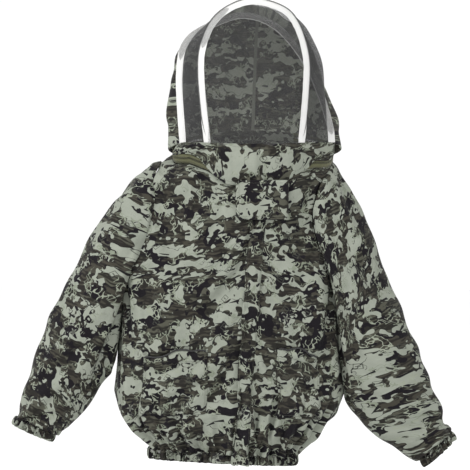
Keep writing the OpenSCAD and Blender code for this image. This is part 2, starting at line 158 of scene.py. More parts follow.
def sag(p):
    """Raises and lowers the cloth round the front of the neck zip, which isn't stretched flat."""
    away = (p - np.array([0, 0, RING_Z])) @ RING_N
    w = np.exp(-(away / 0.045) ** 2) * np.clip((-p[..., 1] - 0.005) / 0.035, 0, 1)
    return p + np.stack([0 * w, 0 * w, np.interp(p[..., 0], SAG_X, SAG_Z) * w], -1)


def front_depth(drop):
    return 0.103 - (drop - 0.060) * 0.0155


def body_point(a, drop):
    e = 2 / SQUARE
    w, m = np.interp(drop, *HALF_AT), np.interp(drop, *MIDDLE_AT)
    depth = np.where(sind(a) > 0, np.interp(drop, *BACK_AT), front_depth(drop))
    x = m + w * power(cosd(a), e)
    low = np.clip((drop - 0.560) / (HEM_DROP - 0.560), 0, 1)
    return np.stack([x, depth * power(sind(a), e), -drop - 0.05 * (x - m) * low], -1)


def shell(a, drop):
    """The jacket's outside at an angle round the body and a drop down it."""
    a, drop = np.broadcast_arrays(np.asarray(a, float), np.asarray(drop, float))
    f = np.clip(drop / YOKE_DROP, 0, 1)
    p, q = ring_point(a, 0, -YOKE_START), body_point(a, np.full(a.shape, YOKE_DROP))
    s, c = sind(90 * f), 1 - cosd(90 * f)
    yoke = mix(p, q, np.stack([s, s, c], -1))
    return sag(np.where((drop < YOKE_DROP)[..., None], yoke, body_point(a, np.maximum(drop, YOKE_DROP))))


def side_cut(drop):
    """Angle from the side out to the armhole's edge."""
    f = (np.asarray(drop) - ARM_MID) / (ARM_HALF - 0.004)
    return (ARM_ANGLE - 1.5) * np.sqrt(np.clip(1 - f * f, 0, 1))


def zip_at(drop):
    """Sideways place of the front zip."""
    return 0.0155 - (drop - 0.060) * 0.0796


def front_angle(x, drop):
    d = np.maximum(drop, YOKE_DROP)
    w, m = np.interp(d, *HALF_AT), np.interp(d, *MIDDLE_AT)
    body = np.degrees(np.arcsin(np.clip(power((x - m) / w, SQUARE / 2), -1, 1)))
    neck = np.degrees(np.arcsin(np.clip(x / FLAT_R, -1, 1)))
    return 270 + mix(neck, body, sind(90 * np.minimum(1, drop / YOKE_DROP)))


def between(a, b, c, d, f):
    """Smooth step from b to c at share f, with a before them and d after."""
    return 0.5 * (2 * b + (c - a) * f + (2 * a - 5 * b + 4 * c - d) * f * f
                  + (3 * b - a - 3 * c + d) * f ** 3)


def curve(points, u):
    """Smooth curve through a list of points in millimetres, from 0 at the first to 1 at the last."""
    p = np.asarray(points, float) * MM
    n = len(p) - 1
    u = np.asarray(u, float)
    k = np.clip(np.floor(u * n).astype(int), 0, n - 1)
    f = (u * n - k)[..., None]
    return between(p[np.maximum(0, k - 1)], p[k], p[k + 1], p[np.minimum(n, k + 2)], f)


def armhole(s, a):
    """The armhole's edge on side s, from its top at 0 degrees to its bottom at 180."""
    return shell((180 if s < 0 else 360) - s * ARM_ANGLE * sind(a), ARM_MID - ARM_HALF * cosd(a))


def sleeve_grid(s, rows, v, a):
    """Points of a sleeve: v runs from the armhole to the cuff, a round it."""
    a = np.asarray(a, float)
    rings = [armhole(s, a) + np.array([s * 0.0015, 0, 0])]
    for xo, zo, xi, zi, depth in rows:
        o, i = np.array([xo, 0, zo]) * MM, np.array([xi, 0, zi]) * MM
        rings.append((o + i) / 2 + (o - i) / 2 * cosd(a)[:, None]
                     + np.stack([0 * a, -depth * MM * sind(a), 0 * a], -1))
    rings = np.array(rings)
    return np.array([ring_at(rings, x) for x in v])


def ring_at(rings, u):
    n = len(rings) - 1
    k = min(n - 1, int(math.floor(u * n)))
    f = u * n - k
    return between(rings[max(0, k - 1)], rings[k], rings[k + 1], rings[min(n, k + 2)], f)


# ---------------------------------------------------------------- meshes from grids
def grid_normals(g, closed=False, sign=1):
    """Directions square to a grid, towards the side from which its rows run down and its columns right."""
    if closed:
        du = np.roll(g, -1, 1) - np.roll(g, 1, 1)
    else:
        du = np.gradient(g, axis=1)
    return sign * unit(np.cross(np.gradient(g, axis=0), du))


def grid_faces(n, m, closed=False, index=None):
    index = np.arange(n * m).reshape(n, m) if index is None else index
    if closed:
        index = np.concatenate([index, index[:, :1]], 1)
    a, b, c, d = index[:-1, :-1], index[:-1, 1:], index[1:, 1:], index[1:, :-1]
    return np.stack([a, d, c, b], -1).reshape(-1, 4)


def flat_uv(g, closed=False):
    """Lengths along the rows and columns of a grid, so that the cloth's print keeps its scale."""
    h = np.concatenate([g, g[:, :1]], 1) if closed else g
    du = np.linalg.norm(np.diff(h, axis=1), axis=-1)
    u = np.concatenate([np.zeros((len(h), 1)), np.cumsum(du, 1)], 1)
    u = u - u[:, -1:] / 2
    dv = np.linalg.norm(np.diff(h, axis=0), axis=-1).mean(1)
    v = -np.concatenate([[0], np.cumsum(dv)])
    return np.stack([u, np.repeat(v[:, None], h.shape[1], 1)], -1)


def tube_uv(g):
    """Lengths round a tube and along its axis, for a grid whose rows lie aslant across it."""
    axis = unit(g[-1].mean(0) - g[0].mean(0))
    h = np.concatenate([g, g[:, :1]], 1)
    d = np.diff(h, axis=1)
    d = np.linalg.norm(d - (d @ axis)[..., None] * axis, axis=-1)
    u = np.concatenate([np.zeros((len(h), 1)), np.cumsum(d, 1)], 1)
    return np.stack([u, -(h @ axis)], -1)


def dome_uv(g, centre):
    """Lengths round a dome from its back and up it from its middle."""
    d = g - centre
    r = np.linalg.norm(d, axis=-1)
    rise = np.arcsin(d[..., 2] / r)
    round_ = np.arctan2(d[..., 0], d[..., 1])
    return np.stack([r * round_ * np.cos(rise), r * rise], -1)


def new_mesh(name, points, faces, uv=None, material=None):
    mesh = bpy.data.meshes.new(name)
    faces = faces.tolist() if isinstance(faces, np.ndarray) else faces
    mesh.from_pydata(np.asarray(points).tolist(), [], faces)
    mesh.update()
    if uv is not None:
        mesh.uv_layers.new(name="UVMap").data.foreach_set("uv", np.asarray(uv, np.float32).ravel())
    obj = bpy.data.objects.new(name, mesh)
    bpy.context.collection.objects.link(obj)
    if material:
        mesh.materials.append(material)
    mesh.polygons.foreach_set("use_smooth", [True] * len(mesh.polygons))
    return obj


def grid_object(name, g, material, uv=None, closed=False, offset=(0, 0)):
    n, m = g.shape[:2]
    faces = grid_faces(n, m, closed)
    uv = flat_uv(g, closed) if uv is None else uv
    corners = grid_faces(n, m + (1 if closed else 0))
    table = (uv + np.asarray(offset)).reshape(-1, 2)
    return new_mesh(name, g.reshape(-1, 3), faces, table[corners.ravel()], material)


def soften(obj):
    """Rounds a mesh off once."""
    smooth = obj.modifiers.new("smooth", "SUBSURF")
    smooth.levels = smooth.render_levels = 1
    return smooth


def thicken(obj, thickness, offset=-1.0):
    """Gives a sheet its cloth's thickness after smoothing it."""
    soften(obj).boundary_smooth = "PRESERVE_CORNERS"
    solid = obj.modifiers.new("cloth", "SOLIDIFY")
    solid.thickness, solid.offset = thickness, offset
    solid.use_even_offset = False


def cloth_piece(obj, body, node):
    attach(obj, body)
    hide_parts(node)


BARREL = [(0.0, 0.35), (0.2, 0.9), (0.8, 0.9), (1.0, 0.35)]  # share along a stitch, and its thickness there


def stitches(name, line, out, off, material, body, pitch=0.0036, length=0.0029, radius=0.00032):
    """A row of thread along a line of points, each stitch a small barrel lying on the cloth."""
    line = line + out * off
    run = np.r_[0, np.cumsum(np.linalg.norm(np.diff(line, axis=0), axis=1))]
    at = np.arange(0.002, run[-1] - length, pitch)

    def place(t, what):
        return np.stack([np.interp(t, run, what[:, k]) for k in range(3)], -1)

    p, q = place(at, line), place(at + length, line)
    along = unit(q - p)
    up = unit(place(at + length / 2, np.broadcast_to(out, line.shape)))
    side = unit(np.cross(along, up))
    up = np.cross(side, along)
    rings = []
    for f, r in BARREL:
        c = mix(p, q, f) - up * (radius * 1.6 * (abs(f - 0.5) > 0.45))
        rings += [c + (side * math.cos(w) + up * math.sin(w)) * radius * r
                  for w in np.radians(np.arange(0, 360, 60))]
    pts = np.stack(rings, 1)
    walls = [(6 * k + j, 6 * k + (j + 1) % 6, 6 * k + 6 + (j + 1) % 6, 6 * k + 6 + j)
             for k in range(3) for j in range(6)]
    ends = [(5, 4, 3, 2, 1, 0), (18, 19, 20, 21, 22, 23)]
    faces = [tuple(24 * m + i for i in f) for group in (walls, ends) for m in range(len(at)) for f in group]
    obj = new_mesh(name, pts.reshape(-1, 3), faces, material=material)
    obj.data.uv_layers.new(name="UVMap")
    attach(obj, body)


# ---------------------------------------------------------------- folds and gathers
def waves(points, size, seed, stretch=(1, 1, 1)):
    """Soft random relief of about unit height, from a few crossed and bent waves."""
    rng, count = np.random.default_rng(seed), 7
    p = points * np.asarray(stretch) / size
    total = np.zeros(points.shape[:-1])
    for _ in range(count):
        d, e = unit(rng.normal(size=3)), unit(rng.normal(size=3))
        bend = 1.3 * np.sin(p @ e * rng.uniform(1.2, 2.2) + rng.uniform(0, 6.28))
        total += np.sin(p @ d * 6.28 * rng.uniform(0.6, 1.25) + bend + rng.uniform(0, 6.28))
    return total / math.sqrt(count)


def gathers(s, seed, pitch=0.024):
    """Pleats of a gathered edge against the length s along it, from 0 in the valleys to 1 on the ridges."""
    rng = np.random.default_rng(seed)
    phase = s / pitch * 6.283
    for _ in range(3):
        phase = phase + 1.5 * np.sin(s / pitch * 6.283 / rng.uniform(2.5, 6) + rng.uniform(0, 6.28))
    return 0.5 + 0.5 * np.sin(phase) + 0.22 * np.sin(phase * 1.7 + 1)


def simulate(jobs, frames):
    """Runs all the cloth at once. Each job is (points, faces, pinned weights, growth map, settings).

    In the settings, low and high are the cloth's growth where the map is 0 and 1, and cap is how far it
    may move."""
    scene = bpy.context.scene
    made = []
    for k, (points, faces, pin, grow, opt) in enumerate(jobs):
        obj = new_mesh(f"cloth_{k}", points, faces)
        for label, weights in (("pin", pin), ("grow", grow)):
            group = obj.vertex_groups.new(name=label)
            for level in np.unique(np.round(weights, 2)):
                if level > 0:
                    group.add(np.nonzero(np.round(weights, 2) == level)[0].tolist(), float(level), "REPLACE")
        cloth = obj.modifiers.new("cloth", "CLOTH")
        st = cloth.settings
        st.quality = 5
        st.mass = 0.12
        st.tension_stiffness = st.compression_stiffness = 12
        st.shear_stiffness = 4
        st.bending_stiffness = 0.25
        st.tension_damping = st.compression_damping = 6
        st.air_damping = 2
        st.vertex_group_mass = "pin"
        st.pin_stiffness = 1.0
        st.vertex_group_shrink = "grow"
        st.shrink_min, st.shrink_max = -opt["low"], -opt["high"]
        st.use_pressure = True
        st.uniform_pressure_force = opt["pressure"]
        st.effector_weights.gravity = opt["gravity"]
        cloth.collision_settings.use_collision = False
        cloth.point_cache.frame_start, cloth.point_cache.frame_end = 1, frames
        made.append(obj)
    scene.frame_start, scene.frame_end = 1, frames
    for f in range(1, frames + 1):
        scene.frame_set(f)
    out = []
    graph = bpy.context.evaluated_depsgraph_get()
    for obj, (points, faces, pin, grow, opt) in zip(made, jobs):
        data = obj.evaluated_get(graph).to_mesh()
        p = np.empty(len(data.vertices) * 3, np.float32)
        data.vertices.foreach_get("co", p)
        p = p.reshape(-1, 3).astype(float)
        move = p - points
        size = np.linalg.norm(move, axis=1, keepdims=True)
        out.append(points + move * np.minimum(1, opt["cap"] / np.maximum(size, 1e-9)))
    for obj in made:
        mesh = obj.data
        bpy.data.objects.remove(obj)
        bpy.data.meshes.remove(mesh)
    scene.frame_set(1)
    return out


# ---------------------------------------------------------------- node materials
class Nodes:
    """Short names for building a node material."""

    def __init__(self, name):
        self.mat = bpy.data.materials.new(name)
        self.mat.use_nodes = True
        self.tree = self.mat.node_tree
        self.bsdf = self.tree.nodes["Principled BSDF"]

    def add(self, kind, inputs=(), **props):
        node = self.tree.nodes.new(kind)
        for key, value in props.items():
            setattr(node, key, value)
        for key, value in dict(inputs).items():
            self.feed(node.inputs[key], value)
        return node

    def feed(self, socket, value):
        if isinstance(value, bpy.types.NodeSocket):
            self.tree.links.new(value, socket)
        else:
            socket.default_value = value

    def math(self, op, a, b=0.0, c=0.0):
        node = self.add("ShaderNodeMath", operation=op)
        for k, v in enumerate((a, b, c)):
            self.feed(node.inputs[k], v)
        return node.outputs[0]

    def vec(self, op, a, b=(0, 0, 0), scale=None):
        node = self.add("ShaderNodeVectorMath", operation=op)
        self.feed(node.inputs[0], a)
        if scale is None:
            self.feed(node.inputs[1], b)
        else:
            self.feed(node.inputs["Scale"], scale)
        return node.outputs["Value" if op in ("LENGTH", "DISTANCE", "DOT_PRODUCT") else "Vector"]

    def noise(self, vector, scale, detail=2.0, rough=0.5, out="Fac"):
        return self.add("ShaderNodeTexNoise", {"Vector": vector, "Scale": scale, "Detail": detail,
                                               "Roughness": rough}).outputs[out]

    def voronoi(self, vector, scale, feature="F1", random=1.0):
        return self.add("ShaderNodeTexVoronoi", {"Vector": vector, "Scale": scale, "Randomness": random},
                        feature=feature).outputs["Distance"]

    def mix(self, fac, a, b):
        node = self.add("ShaderNodeMix", data_type="RGBA")
        self.feed(node.inputs[0], fac)
        self.feed(node.inputs[6], a)
        self.feed(node.inputs[7], b)
        return node.outputs[2]

    def step(self, value, edge, soft=0.01):
        ends = {"From Min": edge - soft, "From Max": edge + soft}
        return self.add("ShaderNodeMapRange", {"Value": value, **ends}).outputs[0]

    def inside(self, value, edge, soft):
        """1 where a value is under an edge, and 0 over it."""
        return self.math("SUBTRACT", 1.0, self.step(value, edge, soft))

    def bump(self, height, distance, strength=1.0, normal=None):
        node = self.add("ShaderNodeBump", {"Height": height, "Distance": distance, "Strength": strength})
        if normal is not None:
            self.feed(node.inputs["Normal"], normal)
        return node.outputs[0]


def rgb(r, g, b):
    """Linear colour from screen values of 0 to 255."""
    shares = (c / 255 for c in (r, g, b))
    return tuple(((c + 0.055) / 1.055) ** 2.4 if c > 0.0393 else c / 12.92 for c in shares) + (1.0,)


def twill(n, uv):
    """Height of a fine diagonal weave."""
    pitch = 0.0009
    warp = n.add("ShaderNodeTexWave", {"Vector": uv, "Scale": 1 / pitch / 6.283, "Distortion": 0.3},
                 bands_direction="DIAGONAL").outputs["Fac"]
    weft = n.add("ShaderNodeTexWave", {"Vector": uv, "Scale": 1 / pitch / 6.283 * 1.4, "Distortion": 0.3},
                 bands_direction="X").outputs["Fac"]
    return n.math("ADD", warp, n.math("MULTIPLY", weft, 0.4))


def camo(name, gain=1.0):
    """Printed cloth: crisp leafy patches with twigs, drops, small five-pointed stars and tilted squares.

    Gain brightens the whole print; a gain above 1 paints light onto it."""
    n = Nodes(name)

    def ink(r, g, b):
        return tuple(min(1, c * gain) for c in rgb(r, g, b)[:3]) + (1.0,)

    uv = n.add("ShaderNodeUVMap", uv_map="UVMap").outputs[0]
    p = n.vec("SCALE", uv, scale=10.4)
    big = n.vec("SUBTRACT", n.noise(p, 1.4, 1, 0.5, "Color"), (0.5, 0.5, 0.5))
    lobe = n.vec("SUBTRACT", n.noise(p, 6.0, 0, 0.5, "Color"), (0.5, 0.5, 0.5))
    q = n.vec("ADD", n.vec("MULTIPLY", p, (0.72, 1.35, 1)), n.vec("SCALE", big, scale=0.75))
    q = n.vec("ADD", q, n.vec("SCALE", lobe, scale=0.44))
    cells = n.voronoi(n.vec("ADD", p, n.vec("SCALE", lobe, scale=0.20)), 10.0)
    leafy = n.math("SUBTRACT", n.math("MAXIMUM", cells, 0.30), 0.45)

    def field(x, y, scale, jag):
        return n.math("MULTIPLY_ADD", leafy, jag, n.noise(n.vec("ADD", q, (x, y, 0)), scale, 0.0, 0.5))

    def turned(scale, angle, spread, random=0.75):
        """Cell-by-cell coordinates turned by an angle, and the cell's own random colour."""
        cell = n.add("ShaderNodeTexVoronoi", {"Vector": p, "Scale": scale, "Randomness": random})
        away = n.vec("SUBTRACT", p, cell.outputs["Position"])
        tint = n.add("ShaderNodeSeparateColor", {"Color": cell.outputs["Color"]})
        turn = n.math("MULTIPLY_ADD", tint.outputs[0], spread, angle)
        spin = n.add("ShaderNodeVectorRotate", {"Vector": away, "Angle": turn}, rotation_type="Z_AXIS")
        sep = n.add("ShaderNodeSeparateXYZ", {"Vector": spin.outputs[0]})
        return sep.outputs[0], sep.outputs[1], tint.outputs[1], away

    ground = n.mix(n.noise(p, 2.0, 2), ink(112, 117, 107), ink(138, 142, 131))
    streaks = n.vec("ADD", n.vec("MULTIPLY", p, (2.6, 16, 1)), n.vec("SCALE", lobe, scale=1.2))
    shade = n.step(n.noise(streaks, 1.0, 0), 0.54, 0.05)
    olive = field(3, 1, 1.75, 0.05)
    stroke = n.math("MULTIPLY", n.step(olive, 0.443, 0.005), n.step(n.noise(p, 3.5, 0), 0.47, 0.02))
    col = n.mix(stroke, ground, ink(20, 18, 19))
    col = n.mix(n.step(olive, 0.460, 0.005), col, n.mix(shade, ink(30, 29, 25), ink(66, 66, 57)))
    dark = n.step(field(31, 9, 2.0, 0.17), 0.548, 0.005)
    col = n.mix(dark, col, ink(12, 9, 14))
    brown = n.step(field(17, 5, 1.9, 0.10), 0.578, 0.005)
    col = n.mix(brown, col, n.mix(shade, ink(30, 28, 25), ink(52, 50, 43)))
    pale = field(47, 23, 2.1, 0.05)
    rim = n.math("MULTIPLY", n.step(pale, 0.580, 0.005), n.step(n.noise(p, 4.5, 0), 0.44, 0.03))
    col = n.mix(rim, col, ink(16, 14, 16))
    col = n.mix(n.step(pale, 0.600, 0.005), col, ground)
    # twigs
    t = n.vec("ADD", n.vec("MULTIPLY", p, (1.25, 0.75, 1)), n.vec("SCALE", lobe, scale=0.30))
    edge = n.voronoi(t, 5.6, "DISTANCE_TO_EDGE")
    patch = n.step(n.noise(n.vec("ADD", p, (9, 4, 0)), 3.0, 0), 0.57, 0.01)
    line = n.math("MULTIPLY", n.inside(edge, 0.056, 0.012), patch)
    col = n.mix(line, col, n.mix(dark, ink(112, 118, 104), ink(126, 131, 117)))
    # drops
    x, y, pick, _ = turned(2.0, -0.5, 0.7)
    half = n.add("ShaderNodeMapRange", {"Value": x, "From Min": -0.13, "From Max": 0.10, "To Min": 0.004,
                                        "To Max": 0.032}).outputs[0]
    body = n.step(n.math("SUBTRACT", half, n.math("ABSOLUTE", y)), 0.0, 0.003)
    ends = n.inside(n.math("ABSOLUTE", x), 0.13, 0.004)
    drop = n.math("MULTIPLY", n.math("MULTIPLY", body, ends), n.step(pick, 0.42, 0.01))
    col = n.mix(drop, col, ink(18, 17, 18))
    # stars
    x, y, pick, away = turned(1.25, 0.0, 6.28)
    turn = n.math("MULTIPLY", n.math("ARCTAN2", y, x), 5 / 6.28318)
    fifth = n.math("ABSOLUTE", n.math("SUBTRACT", n.math("FRACT", turn), 0.5))
    reach = n.math("MULTIPLY_ADD", n.math("POWER", n.math("MULTIPLY", fifth, 2.0), 1.6), 0.078, 0.038)
    r = n.math("DIVIDE", n.vec("LENGTH", away), reach)
    near = n.inside(n.math("MULTIPLY_ADD", leafy, 0.5, n.vec("LENGTH", away)), 0.17, 0.006)
    picked = n.step(pick, 0.40, 0.01)
    col = n.mix(n.math("MULTIPLY", near, picked), col, ink(17, 14, 19))
    ring = n.math("MULTIPLY", n.math("SUBTRACT", n.step(r, 0.58, 0.08), n.step(r, 1.0, 0.08)), picked)
    col = n.mix(ring, col, ink(104, 107, 98))
    # tilted squares with a plain bar in each
    x, y, pick, _ = turned(1.35, 0.45, 0.3, 0.6)
    box = n.math("MAXIMUM", n.math("ABSOLUTE", x), n.math("ABSOLUTE", y))
    frame_ = n.math("SUBTRACT", n.step(box, 0.062, 0.004), n.step(box, 0.078, 0.004))
    bar = n.math("MULTIPLY", n.inside(n.math("ABSOLUTE", y), 0.013, 0.004),
                 n.inside(n.math("ABSOLUTE", x), 0.040, 0.004))
    square = n.math("MULTIPLY", n.math("MAXIMUM", frame_, bar), n.step(pick, 0.45, 0.01))
    col = n.mix(n.math("MULTIPLY", square, 0.85), col, ink(58, 60, 54))
    n.feed(n.bsdf.inputs["Base Color"], col)
    crumple = n.noise(p, 6.0, 4, 0.6)
    normal = n.bump(crumple, 0.0035, 1.0)
    n.feed(n.bsdf.inputs["Normal"], n.bump(twill(n, uv), 0.00012, 0.6, normal))
    n.bsdf.inputs["Roughness"].default_value = 0.82
    n.bsdf.inputs["Specular IOR Level"].default_value = 0.16
    n.bsdf.inputs["Sheen Weight"].default_value = 0.03
    n.bsdf.inputs["Sheen Roughness"].default_value = 0.5
    return n.mat


def netting(name, reach, low, high):
    """Knitted net of round holes; reach sets how wide the strands are, low and high are their colours."""
    n = Nodes(name)
    uv = n.add("ShaderNodeUVMap", uv_map="UVMap").outputs[0]
    soft = n.vec("SCALE", n.vec("SUBTRACT", n.noise(uv, 40, 2, 0.5, "Color"), (0.5, 0.5, 0.5)), scale=0.0012)
    p = n.vec("ADD", uv, soft)
    edge = n.voronoi(p, 480.0, "DISTANCE_TO_EDGE", random=0.12)
    n.feed(n.bsdf.inputs["Alpha"], n.inside(edge, reach, 0.03))
    tone = n.noise(uv, 26.0, 3)
    n.feed(n.bsdf.inputs["Base Color"], n.mix(tone, low, high))
    n.bsdf.inputs["Roughness"].default_value = 0.6
    n.bsdf.inputs["Specular IOR Level"].default_value = 0.35
    return n.mat


def tape(name, colour, other, pitch=0.0016, bump=0.0002):
    """Woven tape with a fine chevron along it, its rib valleys painted darker as shade."""
    n = Nodes(name)
    uv = n.add("ShaderNodeUVMap", uv_map="UVMap").outputs[0]
    sep = n.add("ShaderNodeSeparateXYZ", {"Vector": uv})
    fold = n.math("PINGPONG", sep.outputs[1], 0.0025)
    ribs = n.math("SINE", n.math("MULTIPLY", n.math("ADD", sep.outputs[0], fold), 6.283 / pitch))
    height = n.math("MULTIPLY_ADD", ribs, 0.5, 0.5)
    dirt = n.noise(uv, 30.0, 4)
    # Colour follows the ribs' height, painted shade in their valleys, plus random tone from the noise.
    col = n.mix(n.math("MULTIPLY", n.math("ADD", height, dirt), 0.5), colour, other)
    n.feed(n.bsdf.inputs["Base Color"], col)
    n.feed(n.bsdf.inputs["Normal"], n.bump(height, bump, 0.8))
    n.bsdf.inputs["Roughness"].default_value = 0.8
    n.bsdf.inputs["Specular IOR Level"].default_value = 0.3
    n.bsdf.inputs["Sheen Weight"].default_value = 0.1
    return n.mat


def worn(name, colour, other, metallic, rough):
    """Plastic or plated metal with fine scratches and a cloudy wear pattern."""
    n = Nodes(name)
    pos = n.add("ShaderNodeTexCoord").outputs["Object"]
    cloud = n.noise(pos, 300.0, 4, 0.6)
    scratch = n.noise(n.vec("MULTIPLY", pos, (1, 1, 8)), 900.0, 2)
    n.feed(n.bsdf.inputs["Base Color"], n.mix(cloud, colour, other))
    n.feed(n.bsdf.inputs["Roughness"], n.math("MULTIPLY_ADD", cloud, 0.25, rough - 0.12))
    n.feed(n.bsdf.inputs["Normal"], n.bump(scratch, 0.0001, 0.5))
    n.bsdf.inputs["Metallic"].default_value = metallic
    return n.mat


CAMO = camo("camo_fabric")
# Brighter copy of the print for the faces turned into the hood: painted light against the shade inside the
# hood.
CAMO_INSIDE_PAINTED_LIGHT = camo("camo_fabric_inside_painted_light", 1.5)
# Front veil's net: the same black net as the crown's, its strands given lighter colours as painted light from
# the lamps in front.
FRONT_NET_PAINTED_LIGHT = netting("veil_net", 0.072, rgb(76, 77, 76), rgb(98, 98, 97))
# Crown's net: the same net with darker strands as painted shade where the crown turns away, and wider strands
# for its slant.
CROWN_NET_PAINTED_SHADE = netting("veil_net_crown_painted_shade", 0.235, rgb(34, 35, 35), rgb(52, 52, 52))
LAP_NET = netting("veil_net_lap", 0.105, rgb(60, 61, 61), rgb(80, 80, 80))
WHITE = tape("white_tape", rgb(190, 190, 188), rgb(212, 212, 210))
BINDING = tape("seam_binding", rgb(92, 95, 86), rgb(116, 119, 108))
THREAD = tape("thread", rgb(62, 64, 54), rgb(84, 86, 74), pitch=0.0007)
WHITE_THREAD = tape("white_thread", rgb(172, 172, 170), rgb(200, 200, 198), pitch=0.0007)
OLIVE = tape("olive_tape", rgb(66, 67, 46), rgb(92, 92, 66))
BLACK_TAPE = tape("black_tape", rgb(30, 30, 30), rgb(50, 50, 50))
ELASTIC = tape("elastic", rgb(170, 170, 166), rgb(196, 196, 192), pitch=0.003, bump=0.0005)
FLUFF = tape("hook_and_loop", rgb(28, 30, 28), rgb(58, 60, 56), pitch=0.0012, bump=0.0006)
TEETH = worn("zip_teeth", rgb(60, 60, 42), rgb(80, 80, 58), 0.0, 0.45)
METAL = worn("zip_metal", rgb(120, 116, 96), rgb(165, 160, 140), 0.9, 0.38)
PAINTED = worn("painted_metal", rgb(46, 46, 34), rgb(66, 66, 50), 0.2, 0.5)
ROD = worn("hoop_rod", rgb(205, 205, 200), rgb(235, 235, 230), 0.0, 0.4)

# ---------------------------------------------------------------- jacket body
DROPS = np.concatenate([np.linspace(0, YOKE_DROP, 16)[:-1], np.linspace(YOKE_DROP, 0.462, 62)[:-1],
                        np.linspace(0.462, 0.500, 20)[:-1], np.linspace(0.500, HEM_DROP + 0.004, 46)])
FRONT_COLS, BACK_COLS = 66, 96
ZIP_EDGE = 0.006
CUTS = side_cut(DROPS)


def panel_angles(first, last, cols, finer=0):
    """Angles across a panel at each drop, closer together towards its first (-1) or last (1) column."""
    t = np.linspace(0, 1, cols)[None, :]
    t = t ** 1.5 if finer < 0 else 1 - (1 - t) ** 1.5 if finer > 0 else t
    return mix(first[:, None], last[:, None], t)


LEFT_A = panel_angles(front_angle(zip_at(DROPS) + ZIP_EDGE, DROPS), 360 - CUTS, FRONT_COLS, -1)
BACK_A = panel_angles(CUTS, 180 - CUTS, BACK_COLS)
RIGHT_A = panel_angles(180 + CUTS, front_angle(zip_at(DROPS) - ZIP_EDGE, DROPS), FRONT_COLS, 1)
PANEL_A = {"left": LEFT_A, "back": BACK_A, "right": RIGHT_A}


def round_length(a, drop):
    """Length round the body at the hem level, for the phase of the pleats."""
    return np.radians(a) * 0.235 + 0 * drop


# Drag folds up from the hem: place across the front, lean, reach and depth
FOLDS = [(-.175, -.30, .17, .010), (-.095, -.10, .22, .010), (-.055, .02, .16, .008), (.032, .12, .22, .010),
         (.072, .30, .26, .011), (-.215, -.42, .15, .009), (.0, .03, .14, .006), (.092, .55, .22, .009)]


def painted_shadow_cord(name, line, radius, material, body):
    """A thin dark cord laid along an edge as a painted shadow line."""
    t = unit(np.gradient(line, axis=0))
    side = unit(np.cross(t, np.array([0, 1.0, 0])))
    up = np.cross(side, t)
    ring = np.radians(np.arange(8) * 45)
    c, s = (radius * f(ring)[None, :, None] for f in (np.cos, np.sin))
    g = line[:, None] + (side[:, None] * c + up[:, None] * s)
    obj = grid_object(name, g, material, closed=True)
    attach(obj, body)
    return obj


# Each pocket's two sides across the front, and which end of its mouth is the higher
POCKETS = {"right": (-0.268, -0.112, 1), "left": (0.062, 0.160, -1)}


def mouth(t, slant):
    """Drop of a pocket's mouth, a share t of the way across it."""
    return 0.488 - 0.016 * (t if slant > 0 else 1 - t) + 0.004 * np.sin(t * 9)


def body_relief(p, a, drop):
    """How far the cloth stands off its smooth shape: pleats above the hem, drag folds and soft creases."""
    low = HEM_DROP - drop
    s = round_length(a, drop)
    pleat = (gathers(s, 3) - 0.5) * HEM_PLEAT * np.exp(-low / 0.055)
    pleat += (gathers(s, 5, 0.058) - 0.5) * 0.014 * np.exp(-((low - 0.05) / 0.10) ** 2)
    blouse = 0.006 * np.exp(-((low - 0.085) / 0.05) ** 2)
    soft = waves(p, 0.17, 11, stretch=(1.1, 1, 0.55)) * 0.0055
    fine = waves(p, 0.07, 12, stretch=(1, 1, 0.8)) * 0.0022
    fade = np.clip(drop / 0.06, 0, 1)
    ahead = np.clip(-p[..., 1] / 0.03, 0, 1)
    beside_fly = np.exp(-((p[..., 0] - zip_at(drop) + 0.0175) / 0.0028) ** 2)
    groove = -0.006 * beside_fly * ahead * np.clip((drop - 0.16) / 0.03, 0, 1)
    for x0, x1, slant in POCKETS.values():
        t = (p[..., 0] - x0) / (x1 - x0)
        inside = np.clip(t / 0.08, 0, 1) * np.clip((1 - t) / 0.08, 0, 1) * ahead
        groove = groove - 0.007 * inside * np.exp(-((drop - mouth(t, slant) + 0.003) / 0.0035) ** 2)
    folds = 0
    for x0, lean, reach, depth in FOLDS:
        middle = x0 + lean * low
        side = (p[..., 0] - middle) / (0.005 + 0.04 * low)
        front = np.clip(-p[..., 1] / 0.05, 0, 1)
        folds = folds + depth * (np.exp(-side ** 2) - 0.9 * np.exp(-((side - 1.3) / 0.7) ** 2)) * front \
            * np.exp(-(low / reach) ** 2)
    return pleat + blouse + (soft + fine) * fade + folds + groove


def body_grid(angles):
    drops = np.repeat(DROPS[:, None], angles.shape[1], 1)
    g = shell(angles, drops)
    return g, drops


grids, rows = {}, {}
for key, angles in PANEL_A.items():
    grids[key], rows[key] = body_grid(angles)
sizes = {k: g.shape[:2] for k, g in grids.items()}
index, total = {}, 0
for key, (n, m) in sizes.items():
    index[key] = np.arange(n * m).reshape(n, m) + total
    total += n * m
closed_rows = CUTS < 0.01
index["back"][closed_rows, 0] = index["left"][closed_rows, -1]
index["right"][closed_rows, 0] = index["back"][closed_rows, -1]
points = np.zeros((total, 3))
relief = np.zeros(total)
pin = np.zeros(total)
grow = np.zeros(total)
for key, g in grids.items():
    points[index[key]] = g
    relief[index[key]] = body_relief(g, PANEL_A[key], rows[key])
    w = np.zeros(g.shape[:2])
    w[:2], w[-2:] = 1, 1
    arm_row = ~closed_rows
    if key != "left":
        w[arm_row, 0] = 1
    if key != "right":
        w[arm_row, -1] = 1
    if key == "left":
        w[:, 0] = 0.6
    if key == "right":
        w[:, -1] = 0.6
    pin[index[key]] = w
    grow[index[key]] = np.clip(1 - (HEM_DROP - rows[key]) / 0.13, 0, 1) ** 1.5
body_faces = np.concatenate([grid_faces(*sizes[k], index=index[k]) for k in grids])
used = np.unique(body_faces)
renumber = np.full(total, -1)
renumber[used] = np.arange(len(used))
normals = np.zeros((total, 3))
for key, g in grids.items():
    normals[index[key]] = grid_normals(g)
start = (points + normals * relief[:, None])

